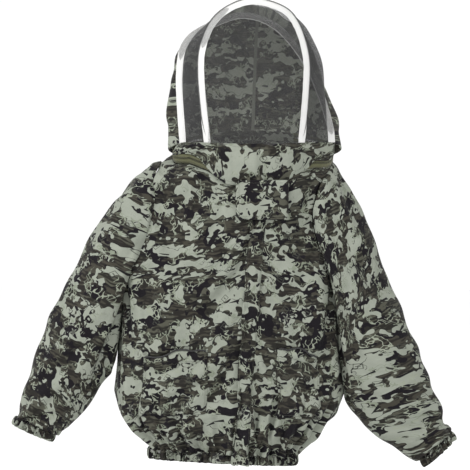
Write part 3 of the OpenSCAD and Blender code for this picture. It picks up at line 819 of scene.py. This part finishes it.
# ---------------------------------------------------------------- sleeves
SLEEVE_V = np.linspace(0, CUFF_START + 0.01, 100)
SLEEVE_COLS = 84
SIDES = {"right": (-1, RIGHT_ROWS), "left": (1, LEFT_ROWS)}
sleeve_rest, sleeve_start = {}, {}
for key, (s, rows_) in SIDES.items():
    a = -s * 360 * np.arange(SLEEVE_COLS) / SLEEVE_COLS
    g = sleeve_grid(s, rows_, SLEEVE_V, a)
    nrm = grid_normals(g, True)
    v = SLEEVE_V[:, None] / SLEEVE_V[-1]
    arc = (np.arange(SLEEVE_COLS) / SLEEVE_COLS)[None, :]
    to_cuff = (1 - v) * 0.75
    cuffs = (gathers(arc * 0.34, 21 + s, 0.34 / 15) - 0.5)
    r = cuffs * CUFF_PLEAT * np.exp(-to_cuff / 0.04) + 0.004 * np.exp(-((to_cuff - 0.06) / 0.035) ** 2)
    r = r + (waves(g, 0.13, 30 + s, stretch=(1, 1, 1.5)) * 0.0036 + waves(g, 0.06, 33 + s) * 0.0017) \
        * np.clip(v / 0.10, 0, 1) * np.clip(to_cuff / 0.03, 0, 1)
    r = r + 0.006 * np.clip(v / 0.03, 0, 1) * np.exp(-v / 0.16)
    if s < 0:
        r = r + 0.010 * np.clip(cosd(a), 0, 1)[None, :] * np.exp(-((v - 0.09) / 0.06) ** 2)
    r = r * (1 - 0.7 * np.clip(-cosd(a) - 0.6, 0, 1)[None, :] / 0.4 * np.exp(-((v - 0.25) / 0.15) ** 2))
    r[0] = 0
    sleeve_rest[key] = g
    sleeve_start[key] = g + nrm * r[..., None]

jobs = [(start[used], renumber[body_faces], pin[used], grow[used],
         {"low": 0.028, "high": 0.07, "cap": 0.020, "pressure": 0.25, "gravity": 0.3})]
for key in SIDES:
    g = sleeve_start[key]
    w = np.zeros(g.shape[:2])
    w[:2], w[-2:] = 1, 1
    gr = np.repeat(np.clip((SLEEVE_V - 0.80) / 0.18, 0, 1)[:, None], SLEEVE_COLS, 1)
    jobs.append((g.reshape(-1, 3), grid_faces(*g.shape[:2], closed=True), w.ravel(), gr.ravel(),
                 {"low": 0.035, "high": 0.08, "cap": 0.018, "pressure": 0.25, "gravity": 0.25}))
done = simulate(jobs, 14)
start[used] = done[0]
for key, p in zip(SIDES, done[1:]):
    sleeve_start[key] = p.reshape(sleeve_start[key].shape)

final = {key: start[index[key]] for key in grids}
PANEL_NODES = {"left": "front_panel_left", "right": "front_panel_right", "back": "back_panel"}
for k, (key, g) in enumerate(final.items()):
    name = PANEL_NODES[key]
    uv = flat_uv(grids[key])
    obj = grid_object(f"{name}_cloth", g, CAMO, uv, offset=(0.7 * k, 0.3 * k))
    thicken(obj, 0.0012)
    cloth_piece(obj, "jacket", name)
PANEL_NORMALS = {key: grid_normals(g) for key, g in final.items()}


def on_front(x, drop, off):
    """Points on the draped front at a sideways place x and a drop, moved out by off."""
    x, drop, off = (np.asarray(v, float) for v in np.broadcast_arrays(x, drop, off))
    a = front_angle(x, drop)
    out = np.zeros(x.shape + (3,))
    for key, side in (("left", x >= zip_at(drop)), ("right", x < zip_at(drop))):
        n, m = final[key].shape[:2]
        row = np.clip(np.interp(drop, DROPS, np.arange(n)), 0, n - 1.001)
        i = row.astype(int)
        f = row - i
        first, last = PANEL_A[key][:, 0], PANEL_A[key][:, -1]
        a0, a1 = mix(first[i], first[i + 1], f), mix(last[i], last[i + 1], f)
        t = np.clip((a - a0) / (a1 - a0), 0, 1)
        t = t ** (1 / 1.5) if key == "left" else 1 - (1 - t) ** (1 / 1.5)
        col = np.clip(t * (m - 1), 0, m - 1.001)
        j = col.astype(int)
        h = (col - j)[..., None]
        f = f[..., None]

        def pick(table):
            return mix(mix(table[i, j], table[i, j + 1], h), mix(table[i + 1, j], table[i + 1, j + 1], h), f)

        p = pick(final[key]) + unit(pick(PANEL_NORMALS[key])) * off[..., None]
        out[side] = p[side]
    return out


for key, (s, rows_) in SIDES.items():
    g = sleeve_start[key]
    uv = tube_uv(sleeve_rest[key])
    obj = grid_object(f"sleeve_{key}_cloth", g, CAMO, uv, closed=True, offset=(2.3 + 0.9 * (s + 1), 1.1))
    thicken(obj, 0.0012)
    underarm = armhole(s, np.array([180.0]))[0]
    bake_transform(obj)
    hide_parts(f"sleeve_{key}")

# ---------------------------------------------------------------- hem and cuffs
# Section of a folded casing: shares outwards and down its width, and of the pleats' depth
CASING = [(0.0, 0.0, 1.0), (0.35, 0.10, 1.0), (0.8, 0.35, 1.0), (0.9, 0.62, 1.0), (0.7, 0.88, 1.0),
          (0.1, 1.05, 1.0), (-0.6, 1.0, 1.0), (-0.9, 0.75, 0.9), (-0.8, 0.40, 0.8), (-0.5, 0.06, 0.7)]


def casing(name, base, down, out, width, puff, relief, uv_offset, closed, body, node):
    """Folded casing: out from its seam, round the bottom and back up inside, round the elastic in it."""
    g = np.array([base + out * (puff * o + relief * r)[..., None] + down * (width * d) for o, d, r in CASING])
    obj = grid_object(name, g, CAMO, closed=closed, offset=uv_offset)
    soften(obj)
    cloth_piece(obj, body, node)
    band = np.array([base + out * (puff * o + relief * 0.95)[..., None] + down * (width * d)
                     for o, d in ((-0.05, 0.14), (0.05, 0.5), (-0.05, 0.86))])
    elastic = grid_object(node.replace("casing", "elastic") + "_band", band, ELASTIC, closed=closed)
    thicken(elastic, 0.0008, offset=0)
    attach(elastic, body)
    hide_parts(node.replace("casing", "elastic"))
    return g


hem_a = np.linspace(front_angle(zip_at(HEM_DROP) + ZIP_EDGE, HEM_DROP),
                    front_angle(zip_at(HEM_DROP) - ZIP_EDGE, HEM_DROP) + 360, 620)
p = shell(hem_a, HEM_DROP)
t = unit(shell(hem_a + 0.5, HEM_DROP) - p)
n = unit(np.stack([t[:, 1], -t[:, 0], 0 * t[:, 0]], -1))
s = round_length(hem_a, HEM_DROP)
puff = 0.0042 * (1 + 0.35 * (gathers(s, 9, 0.012) - 0.5))
pleats = (gathers(s, 3) - 0.5) * HEM_PLEAT + (gathers(s, 9, 0.011) - 0.5) * 0.0022
hem = casing("hem_casing_cloth", p, np.array([0, 0, -1.0]), n, HEM_WIDTH, puff, pleats, (5.0, 0.2), False,
             "jacket", "hem_casing")
stitches("hem_stitching", hem[1] * 0.6 + hem[2] * 0.4, n, 0.0008, THREAD, "jacket")
for key, (s_, rows_) in SIDES.items():
    count = 240
    a = -s_ * 360 * np.arange(count) / count
    ring = sleeve_grid(s_, rows_, np.array([CUFF_START + 0.004, CUFF_START + 0.012]), a)
    axis = unit(ring[1].mean(0) - ring[0].mean(0))
    t = unit(np.roll(ring[1], -1, 0) - np.roll(ring[1], 1, 0))
    n = unit(np.cross(t, np.broadcast_to(axis, t.shape)))
    if ((ring[1] - ring[1].mean(0)) * n).sum() < 0:
        n = -n
    arc = np.arange(count) / count
    puff = 0.0038 * (1 + 0.5 * (gathers(arc * 0.30, 40 + s_, 0.30 / 26) - 0.5))
    cuff = casing(f"cuff_casing_{key}_cloth", ring[0], axis, n, CUFF_WIDTH + 0.003, puff,
                  (gathers(arc * 0.34, 21 + s_, 0.34 / 15) - 0.5) * CUFF_PLEAT, (6.0 + s_ * 0.3, 0.4), True,
                  f"{key}_sleeve", f"cuff_casing_{key}")
    stitches(f"cuff_{key}_stitching", cuff[1] * 0.6 + cuff[2] * 0.4, n, 0.0008, THREAD, f"{key}_sleeve")

# ---------------------------------------------------------------- fly, pockets, throat flap
drops = np.linspace(0.066, HEM_DROP + HEM_WIDTH, 150)[:, None]
across = np.linspace(-0.015, 0.026, 12)[None, :]
free = np.clip(-across / 0.012, 0, 1)
lift = 0.0024 + 0.0016 * free + 0.0012 * np.sin(drops * 75 + 0.8) * free - 0.0028 * (across > 0.024)
edge_wave = 0.0012 * np.sin(drops * 43) * (across < -0.012)
below = np.maximum(drops - HEM_DROP + 0.001, 0)
g = on_front(zip_at(drops) + across + edge_wave, drops - below, lift + 0.0052 * np.clip(below / 0.006, 0, 1))
g[..., 2] -= below
fly = grid_object("zip_fly_cloth", g, CAMO, offset=(7.1, 0.15))
thicken(fly, 0.0014)
cloth_piece(fly, "jacket", "zip_fly")
fly_n = grid_normals(g)
for k, col in (("edge", 1), ("seam", 10)):
    stitches(f"fly_{k}_stitching", g[:, col], fly_n[:, col], 0.0003, THREAD, "jacket")


def pocket(side, offset):
    """Patch pocket that gapes along its mouth, with a folded hem there."""
    x0, x1, slant = POCKETS[side]
    n, m = 46, 54
    t = np.linspace(0, 1, m)[None, :]
    d = np.linspace(0, 1, n)[:, None]
    drop = mix(mouth(t, slant), 0.634, d)
    x = mix(x0, x1, t) + 0 * d
    gape = np.clip(1 - d, 0, 1) ** 1.6 * np.clip(np.sin(np.pi * t), 0, 1) ** 0.6
    near = np.minimum(np.minimum(t, 1 - t) * abs(x1 - x0), (1 - d) * 0.14) / 0.006
    off = 0.0018 + 0.0016 * np.clip(near, 0, 1) + 0.011 * gape + 0.0015 * waves(
        np.stack([x, 0 * x, -drop], -1), 0.06, 50) * np.clip(near / 3, 0, 1)
    g = on_front(x, drop, off)
    obj = grid_object(f"pocket_{side}_cloth", g, CAMO, offset=offset)
    thicken(obj, 0.0016)
    cloth_piece(obj, "jacket", f"pocket_{side}")
    nn = grid_normals(g)
    border = [(i, 2) for i in range(1, n - 3)] + [(n - 3, j) for j in range(2, m - 2)] \
        + [(i, m - 3) for i in range(n - 4, 0, -1)]
    for label, path in (("border", border), ("mouth", [(5, j) for j in range(1, m - 1)])):
        i, j = np.array(path).T
        stitches(f"pocket_{side}_{label}_stitching", g[i, j], nn[i, j], 0.0003, THREAD, "jacket")
    # Black cord along each pocket's mouth: painted shadow standing for the gap under the mouth.
    painted_shadow_cord(f"pocket_{side}_piping", g[0, 1:-1] + np.array([0, -0.0010, 0.0014]), 0.0019, BLACK_TAPE, "jacket")


pocket("right", (8.3, 0.1))
pocket("left", (9.1, 0.6))

FLAP_LOW, FLAP_HIGH = (np.array(c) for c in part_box("throat_flap"))
n, m = 40, 50
t = np.linspace(0, 1, m)[None, :]
d = np.linspace(0, 1, n)[:, None]
corner = 0.012
x = mix(FLAP_LOW[0], FLAP_HIGH[0], t) + 0 * d
z = mix(FLAP_HIGH[2], FLAP_LOW[2], d) + 0 * t
round_off = np.clip((corner - (x - FLAP_LOW[0])) / corner, 0, 1) ** 2 * corner * 0.8
z = np.where(d > 0.5, z + round_off * (d - 0.5) * 2, z - round_off * (0.5 - d) * 2)
turn = np.clip((t - 0.93) / 0.07, 0, 1)
rim = np.clip(1 - np.minimum(np.minimum(t * 0.13, d * 0.098), (1 - d) * 0.098) / 0.005, 0, 1)
ripple = 0.0009 * np.sin(x * 60 + z * 30) * (1 - turn)
y = FLAP_LOW[1] - 0.0014 - ripple + 0.010 * turn ** 2 + 0.0035 * rim ** 2
g = np.stack([x, y, z], -1)
flap = grid_object("throat_flap_cloth", g, CAMO, offset=(10.4, 0.9))
thicken(flap, 0.0018)
cloth_piece(flap, "flap", "throat_flap")
border = [(i, 3) for i in range(3, n - 3)]
border = [(3, j) for j in range(m - 6, 3, -1)] + border + [(n - 4, j) for j in range(4, m - 5)]
i, j = np.array(border).T
stitches("throat_flap_stitching", g[i, j], grid_normals(g)[i, j], 0.0003, THREAD, "flap")

# ---------------------------------------------------------------- hood
def sheet_between(p, q, rows_n, push):
    """Rows of points from one curve to another, pushed out in the middle."""
    rows_f = np.linspace(0, 1, rows_n)
    return np.array([mix(p, q, f) + push * np.sin(np.pi * f) for f in rows_f])


def hoop_frames(path, u):
    """Point, across and facing directions of a hoop's tape, which looks partly ahead and partly outwards."""
    p = curve(path, u)
    t = unit(curve(path, np.minimum(1, u + 0.004)) - curve(path, np.maximum(0, u - 0.004)))
    side = unit(np.cross(t, [0, 1, 0]))
    front = np.cross(t, side)
    c, s_ = math.cos(math.radians(HOOP_FACING)), math.sin(math.radians(HOOP_FACING))
    return p, c * side - s_ * front, c * front + s_ * side


def hoop_edge(path, u, across, off):
    """A line along a hoop's tape, at a share of its width from the middle and off its face."""
    p, a, n = hoop_frames(path, u)
    return p + a * (across * HOOP_TAPE) + n * off


HOOD_MIDDLE = np.array([0.0, -0.03, 0.13])
# Creases inside the hood, from and to, as shares round the hoop and down the cloth
DARTS = [(0.49, 0.06, 0.30, 0.30), (0.51, 0.06, 0.70, 0.34), (0.56, 0.12, 0.64, 0.60),
         (0.36, 0.40, 0.44, 0.80)]


def hood_half(side, u0, u1, offset):
    u = np.linspace(u0, u1, 60)
    a = 190 - 200 * u
    crest = 0.150 * np.sin(np.pi * u) ** 3
    push = np.stack([-0.020 * np.cos(np.pi * u), 0.012 + 0.088 * np.sin(np.pi * u), crest], -1)
    top = hoop_edge(REAR_HOOP, u, 0.38, -0.0008)
    g = sheet_between(top, sag(ring_point(a, 0.0012, 0.007)), 70, push)
    v = np.linspace(0, 1, 70)[:, None]
    uu = u[None, :]
    edge = np.clip(v / 0.08, 0, 1) * np.clip((1 - v) / 0.06, 0, 1)
    seam = np.clip(np.abs(uu - 0.5) / 0.03, 0, 1)
    relief = (waves(g, 0.12, 61) * 0.0045 + waves(g, 0.055, 62) * 0.0016) * edge
    relief = relief - 0.0035 * (1 - seam) * edge
    relief = relief + (gathers(u * 0.55, 63, 0.03)[None, :] - 0.5) * 0.004 * np.exp(-(1 - v) / 0.10) * edge
    for u1_, v1_, u2_, v2_ in DARTS:
        along = np.array([u2_ - u1_, v2_ - v1_])
        along = along / np.linalg.norm(along)
        du_, dv_ = uu - u1_, v - v1_
        run = du_ * along[0] + dv_ * along[1]
        off = (du_ * along[1] - dv_ * along[0]) / 0.012
        reach = math.hypot(u2_ - u1_, v2_ - v1_)
        ends = np.clip(1 - np.abs(run / reach - 0.5) * 2, 0, 1) ** 0.5
        relief = relief + 0.005 * off * np.exp(-off ** 2) * ends
    rest = g
    g = g + grid_normals(g, sign=-1) * (relief * np.clip(np.minimum(uu, 1 - uu) / 0.08, 0.1, 1))[..., None]
    # The faces turned into the hood take the brightened print, painted light; the outer faces take the plain
    # print.
    obj = grid_object(f"hood_back_{side}_cloth", g, CAMO_INSIDE_PAINTED_LIGHT, dome_uv(rest, HOOD_MIDDLE), offset=offset)
    obj.data.materials.append(CAMO)
    thicken(obj, 0.0012, offset=0)
    obj.modifiers["cloth"].material_offset = 1
    cloth_piece(obj, "hood", f"hood_back_{side}")
    return g


hood_right = hood_half("right", 0.003, 0.5, (11.2, 0.3))
hood_left = hood_half("left", 0.5, 0.997, (12.6, 0.8))

seam_across = unit(hood_left[:, 1:2] - hood_right[:, -2:-1])
seam = hood_right[:, -1:] + seam_across * np.linspace(-0.004, 0.004, 5)[None, :, None]
seam = seam + grid_normals(seam) * 0.0016
binding = grid_object("hood_seam_binding", seam, BINDING)
thicken(binding, 0.0008, offset=0)
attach(binding, "hood")

u = np.linspace(0, 1, 150)
band_a = 189 + 162 * u
top = curve(BAND_TOP, u) + np.array([0, 0, 0.010])
cover = np.clip(1 - np.abs(top[:, 0] - 0.005) / 0.060, 0, 1) ** 0.35
shy = np.exp(-((top[:, 0] + 0.085) / 0.035) ** 2)
low = sag(ring_point(band_a, 0.0022 + 0.0085 * cover, 0.0062 - 0.033 * cover + 0.010 * shy))
rest = sheet_between(top, low, 24, np.zeros((150, 3)))
v = np.linspace(0, 1, 24)[:, None]
gathered = (gathers(u * 0.55, 71, 0.05)[None, :] - 0.5) * 0.004
relief = (gathered + 0.005) * np.sin(np.pi * v) + waves(rest, 0.08, 72) * 0.0015
g = rest + grid_normals(rest) * (relief * np.clip(np.minimum(u, 1 - u) / 0.04, 0, 1))[..., None]
band = grid_object("hood_neck_band_cloth", g, CAMO, offset=(13.9, 0.2))
thicken(band, 0.0014, offset=0)
cloth_piece(band, "hood", "hood_neck_band")
for k, row in (("top", 2), ("bottom", 21)):
    stitches(f"neck_band_{k}_stitching", g[row], grid_normals(g)[row], 0.0009, THREAD, "hood")

g = np.array([ring_point(np.linspace(68, 112, 40), 0.0003, h) for h in np.linspace(0.0115, -0.0165, 10)])
nape = grid_object("nape_band_cloth", g, CAMO, offset=(14.7, 0.6))
thicken(nape, 0.0012, offset=0)
cloth_piece(nape, "jacket", "nape_band")


def veil(name, g, relief, node, sign, material):
    g = g + grid_normals(g, sign=sign) * relief[..., None]
    obj = grid_object(name, g, material)
    soften(obj)
    cloth_piece(obj, "hood", node)


u = np.linspace(0.006, 0.994, 110)
front = hoop_edge(FRONT_HOOP, u, -0.36, 0.0004)
low = curve(BAND_TOP, mix(0.17, 0.83, u)) + np.array([0, 0.001, 0.004])
push = np.stack([0 * u, -0.012 * np.sin(np.pi * u), 0 * u], -1)
g = sheet_between(front, low, 90, push)
v = np.linspace(0, 1, 90)[:, None]
fold = (np.sin(u[None, :] * 24 + 2 * v) * 0.0018 + waves(g, 0.11, 81) * 0.002) * np.sin(np.pi * v)
# Front veil in the lighter net copy, painted light on its strands.
veil("veil_front_net", g, fold, "veil_front", 1, FRONT_NET_PAINTED_LIGHT)

u = np.linspace(0.003, 0.997, 180)
front, rear = hoop_edge(FRONT_HOOP, u, 0.36, 0.0004), hoop_edge(REAR_HOOP, u, -0.38, 0.0004)
push = (0.008 + 0.026 * np.exp(-((u - 0.72) / 0.14) ** 2))[:, None] \
    * unit(front * np.array([1, 0, 1]) - np.array([0, 0, 0.15]))
g = sheet_between(front, rear, 40, push)
v = np.linspace(0, 1, 40)[:, None]
fold = (np.sin(u[None, :] * 40 + 5 * v) * 0.0016 + waves(g, 0.08, 83) * 0.0022) * np.sin(np.pi * v)
# Crown in the darker net copy: painted shade.
veil("veil_crown_net", g, fold, "veil_crown", -1, CROWN_NET_PAINTED_SHADE)


# Sections of a net edge: share across the tape, and height over it in metres
LAP_OVER = [(-0.48, 0.0034), (-0.24, 0.0037), (0, 0.0039), (0.24, 0.0037), (0.46, 0.0034)]
LAP_ROUND = [(0.34, 0.0038), (0.44, 0.0036), (0.54, 0.0022), (0.54, 0.0010), (0.44, -0.0004), (0.16, -0.0008)]


def lap(name, path, u0, u1, profile, material):
    """The net's turned edge, sewn over a hoop's tape or folded round the tape's rim."""
    u = np.linspace(u0, u1, 90)
    p, across, out = hoop_frames(path, u)
    narrow = (np.clip(np.minimum(u - u0, u1 - u) / 0.03, 0.02, 1) ** 0.6)[:, None]
    g = np.array([p + across * (x * HOOP_TAPE) * narrow + out * y for x, y in profile])
    obj = grid_object(name, g, material)
    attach(obj, "hood")


lap("front_hoop_net_lap", FRONT_HOOP, 0.20, 0.375, LAP_OVER, LAP_NET)
lap("rear_hoop_net_lap", REAR_HOOP, 0.15, 0.940, LAP_OVER, LAP_NET)
# The net's edge round the front hoop's rim also takes the darker net copy, painted shade.
lap("front_hoop_net_edge", FRONT_HOOP, 0.02, 0.98, LAP_ROUND, CROWN_NET_PAINTED_SHADE)


def hoop(name, path):
    """A hoop's tape, flat in front and round over its rod behind, with two rows of stitching."""
    u = np.linspace(0, 1, 240)
    p, across, out = hoop_frames(path, u)
    profile = [(-0.5, 1.6), (-0.49, 2.3), (-0.40, 2.4), (-0.26, 2.7), (-0.12, 3.1), (0.0, 3.2), (0.12, 3.1),
               (0.26, 2.7), (0.40, 2.4), (0.49, 2.3), (0.5, 1.6), (0.28, 0.9), (0.17, -1.8), (0, -3.0),
               (-0.17, -1.8), (-0.28, 0.9)]
    pucker = 1 + 0.03 * waves(p, 0.02, 91)
    g = np.array([p + across * (x * HOOP_TAPE * pucker)[:, None] + out * (y * MM) for x, y in profile])
    uvs = np.stack(np.meshgrid(np.cumsum(np.r_[0, np.linalg.norm(np.diff(p, axis=0), axis=1)]),
                               np.linspace(0, 2 * HOOP_TAPE, len(profile) + 1)), -1)
    obj = grid_object(f"{name}_tape", g.transpose(1, 0, 2), WHITE, uvs.transpose(1, 0, 2), closed=True)
    soften(obj)
    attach(obj, "hood")
    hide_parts(f"{name}_casing")
    for k, x in (("inner", -0.30), ("outer", 0.30)):
        stitches(f"{name}_{k}_stitching", p + across * (x * HOOP_TAPE), out, 0.0027, WHITE_THREAD, "hood")


hoop("front_hoop", FRONT_HOOP)
hoop("rear_hoop", REAR_HOOP)

# ---------------------------------------------------------------- neck zip
def ring_strip(name, profile, material, body, node):
    """A strip round the neck ring, from one side of the nape to the other."""
    a = np.linspace(110, 430, 360)
    g = np.array([sag(ring_point(a, o, h)) for o, h in profile])
    obj = grid_object(name, g.transpose(1, 0, 2), material, closed=True)
    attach(obj, body)
    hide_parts(node)


TAPE = [(-0.0004, 0.0030), (0.0005, 0.0030), (0.0009, 0.0040), (0.0007, 0.0060), (0.0005, 0.0130),
        (-0.0004, 0.0130)]
ring_strip("neck_zip_upper_tape_cloth", TAPE, OLIVE, "hood", "neck_zip_upper_tape")
ring_strip("neck_zip_lower_tape_cloth", [(o, -h) for o, h in TAPE][::-1], OLIVE, "jacket",
           "neck_zip_lower_tape")


def tooth_shape():
    """One moulded tooth, 1.5 mm along the chain: a clamp on the tape with a rounded head."""
    ring = [(-1, -1), (1, -1), (1, 1), (-1, 1)]
    levels = [(0.00055, 0.0011, 0.0029), (0.00075, 0.0013, 0.0024), (0.00050, 0.0010, 0.0014),
              (0.00070, 0.0011, 0.0009), (0.00045, 0.0007, 0.0003)]
    pts = [(x * w, y * d, h) for w, d, h in levels for x, y in ring]
    faces = [(0, 1, 2, 3), (19, 18, 17, 16)]
    for k in range(len(levels) - 1):
        for j in range(4):
            a, b = k * 4 + j, k * 4 + (j + 1) % 4
            faces.append((a, a + 4, b + 4, b))
    return np.array(pts), faces


def teeth(name, places, along, out, up, body, node):
    shape, faces = tooth_shape()
    pts = places[:, None] + shape[None, :, :1] * along[:, None] + shape[None, :, 1:2] * out[:, None] \
        + shape[None, :, 2:] * up[:, None]
    table = [tuple(i + k * len(shape) for i in f) for k in range(len(places)) for f in faces]
    obj = new_mesh(name, pts.reshape(-1, 3), table, material=TEETH)
    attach(obj, body)
    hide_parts(node)


def ring_teeth(name, sign, phase, body, node):
    a = np.linspace(110, 430, 4000)
    p = ring_point(a)
    length = np.r_[0, np.cumsum(np.linalg.norm(np.diff(p, axis=0), axis=1))]
    where = np.interp(np.arange(phase, length[-1], 0.0026), length, a)
    centre = sag(ring_point(where))
    along = unit(ring_point(where + 0.1) - ring_point(where - 0.1))
    teeth(name, centre, along, ring_out(where), np.broadcast_to(RING_N * sign, centre.shape), body, node)


ring_teeth("neck_zip_upper_teeth_row", 1, 0.0, "hood", "neck_zip_upper_teeth")
ring_teeth("neck_zip_lower_teeth_row", -1, 0.0013, "jacket", "neck_zip_lower_teeth")

# ---------------------------------------------------------------- carried-over nodes get their materials
FINISH = {
    BLACK_TAPE: ["front_zip_tape_left", "front_zip_tape_right"],
    TEETH: ["front_zip_teeth_left", "front_zip_teeth_right"],
    METAL: ["front_zip_top_stops", "front_zip_bottom_box", "front_zip_slider", "front_zip_pull"],
    PAINTED: ["neck_slider_left", "neck_slider_right", "neck_pull_left", "neck_pull_right"],
    ROD: ["front_hoop_rod", "rear_hoop_rod"],
    FLUFF: ["throat_loop_patch", "throat_hook_patch"]}
for material, nodes in FINISH.items():
    for slot_ in (slot_ for node in nodes for slot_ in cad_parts[node].material_slots):
        slot_.material = material

# ---------------------------------------------------------------- stage, light and camera
def stage_material(name, colour):
    mat = bpy.data.materials.new(name)
    mat.use_nodes = True
    mat.node_tree.nodes["Principled BSDF"].inputs["Base Color"].default_value = colour
    mat.node_tree.nodes["Principled BSDF"].inputs["Roughness"].default_value = 0.9
    return mat


floor_z = CAD_BOX[0][2] - 0.12
corners = [(x * 30, y * 30, floor_z) for x, y in ((-1, -1), (1, -1), (1, 1), (-1, 1))]
floor = new_mesh("floor", corners, [(0, 1, 2, 3)], material=stage_material("floor", (0.98, 0.98, 0.98, 1)))

world = bpy.data.worlds.new("studio")
bpy.context.scene.world = world
world.use_nodes = True
world.node_tree.nodes["Background"].inputs["Color"].default_value = (1, 1, 1, 1)
world.node_tree.nodes["Background"].inputs["Strength"].default_value = 1.03


def area_light(name, place, size, power, target=(0, 0, -0.2)):
    data = bpy.data.lights.new(name, "AREA")
    data.energy, data.size = power, size
    light = bpy.data.objects.new(name, data)
    bpy.context.collection.objects.link(light)
    light.location = place
    light.rotation_mode = "QUATERNION"
    light.rotation_quaternion = (Vector(target) - Vector(place)).to_track_quat("-Z", "Y")


area_light("key", (-2.5, -2.2, 2.2), 1.1, 110)
area_light("fill", (2.4, -2.6, 0.6), 2.0, 22)
area_light("front", (0.0, -4.2, 0.5), 1.6, 18, (0, 0, 0.15))

FRAME_WIDTH = 1.175
DISTANCE = 7.0
camera_data = bpy.data.cameras.new("camera")
camera_data.sensor_width = 36
camera_data.lens = 36 * DISTANCE / FRAME_WIDTH
camera = bpy.data.objects.new("camera", camera_data)
bpy.context.collection.objects.link(camera)
camera.location = (-0.045, -DISTANCE, -0.1975)
camera.rotation_euler = (math.radians(90), 0, 0)
camera_data.clip_end = 100
scene = bpy.context.scene
scene.camera = camera
scene.view_settings.view_transform = "Standard"
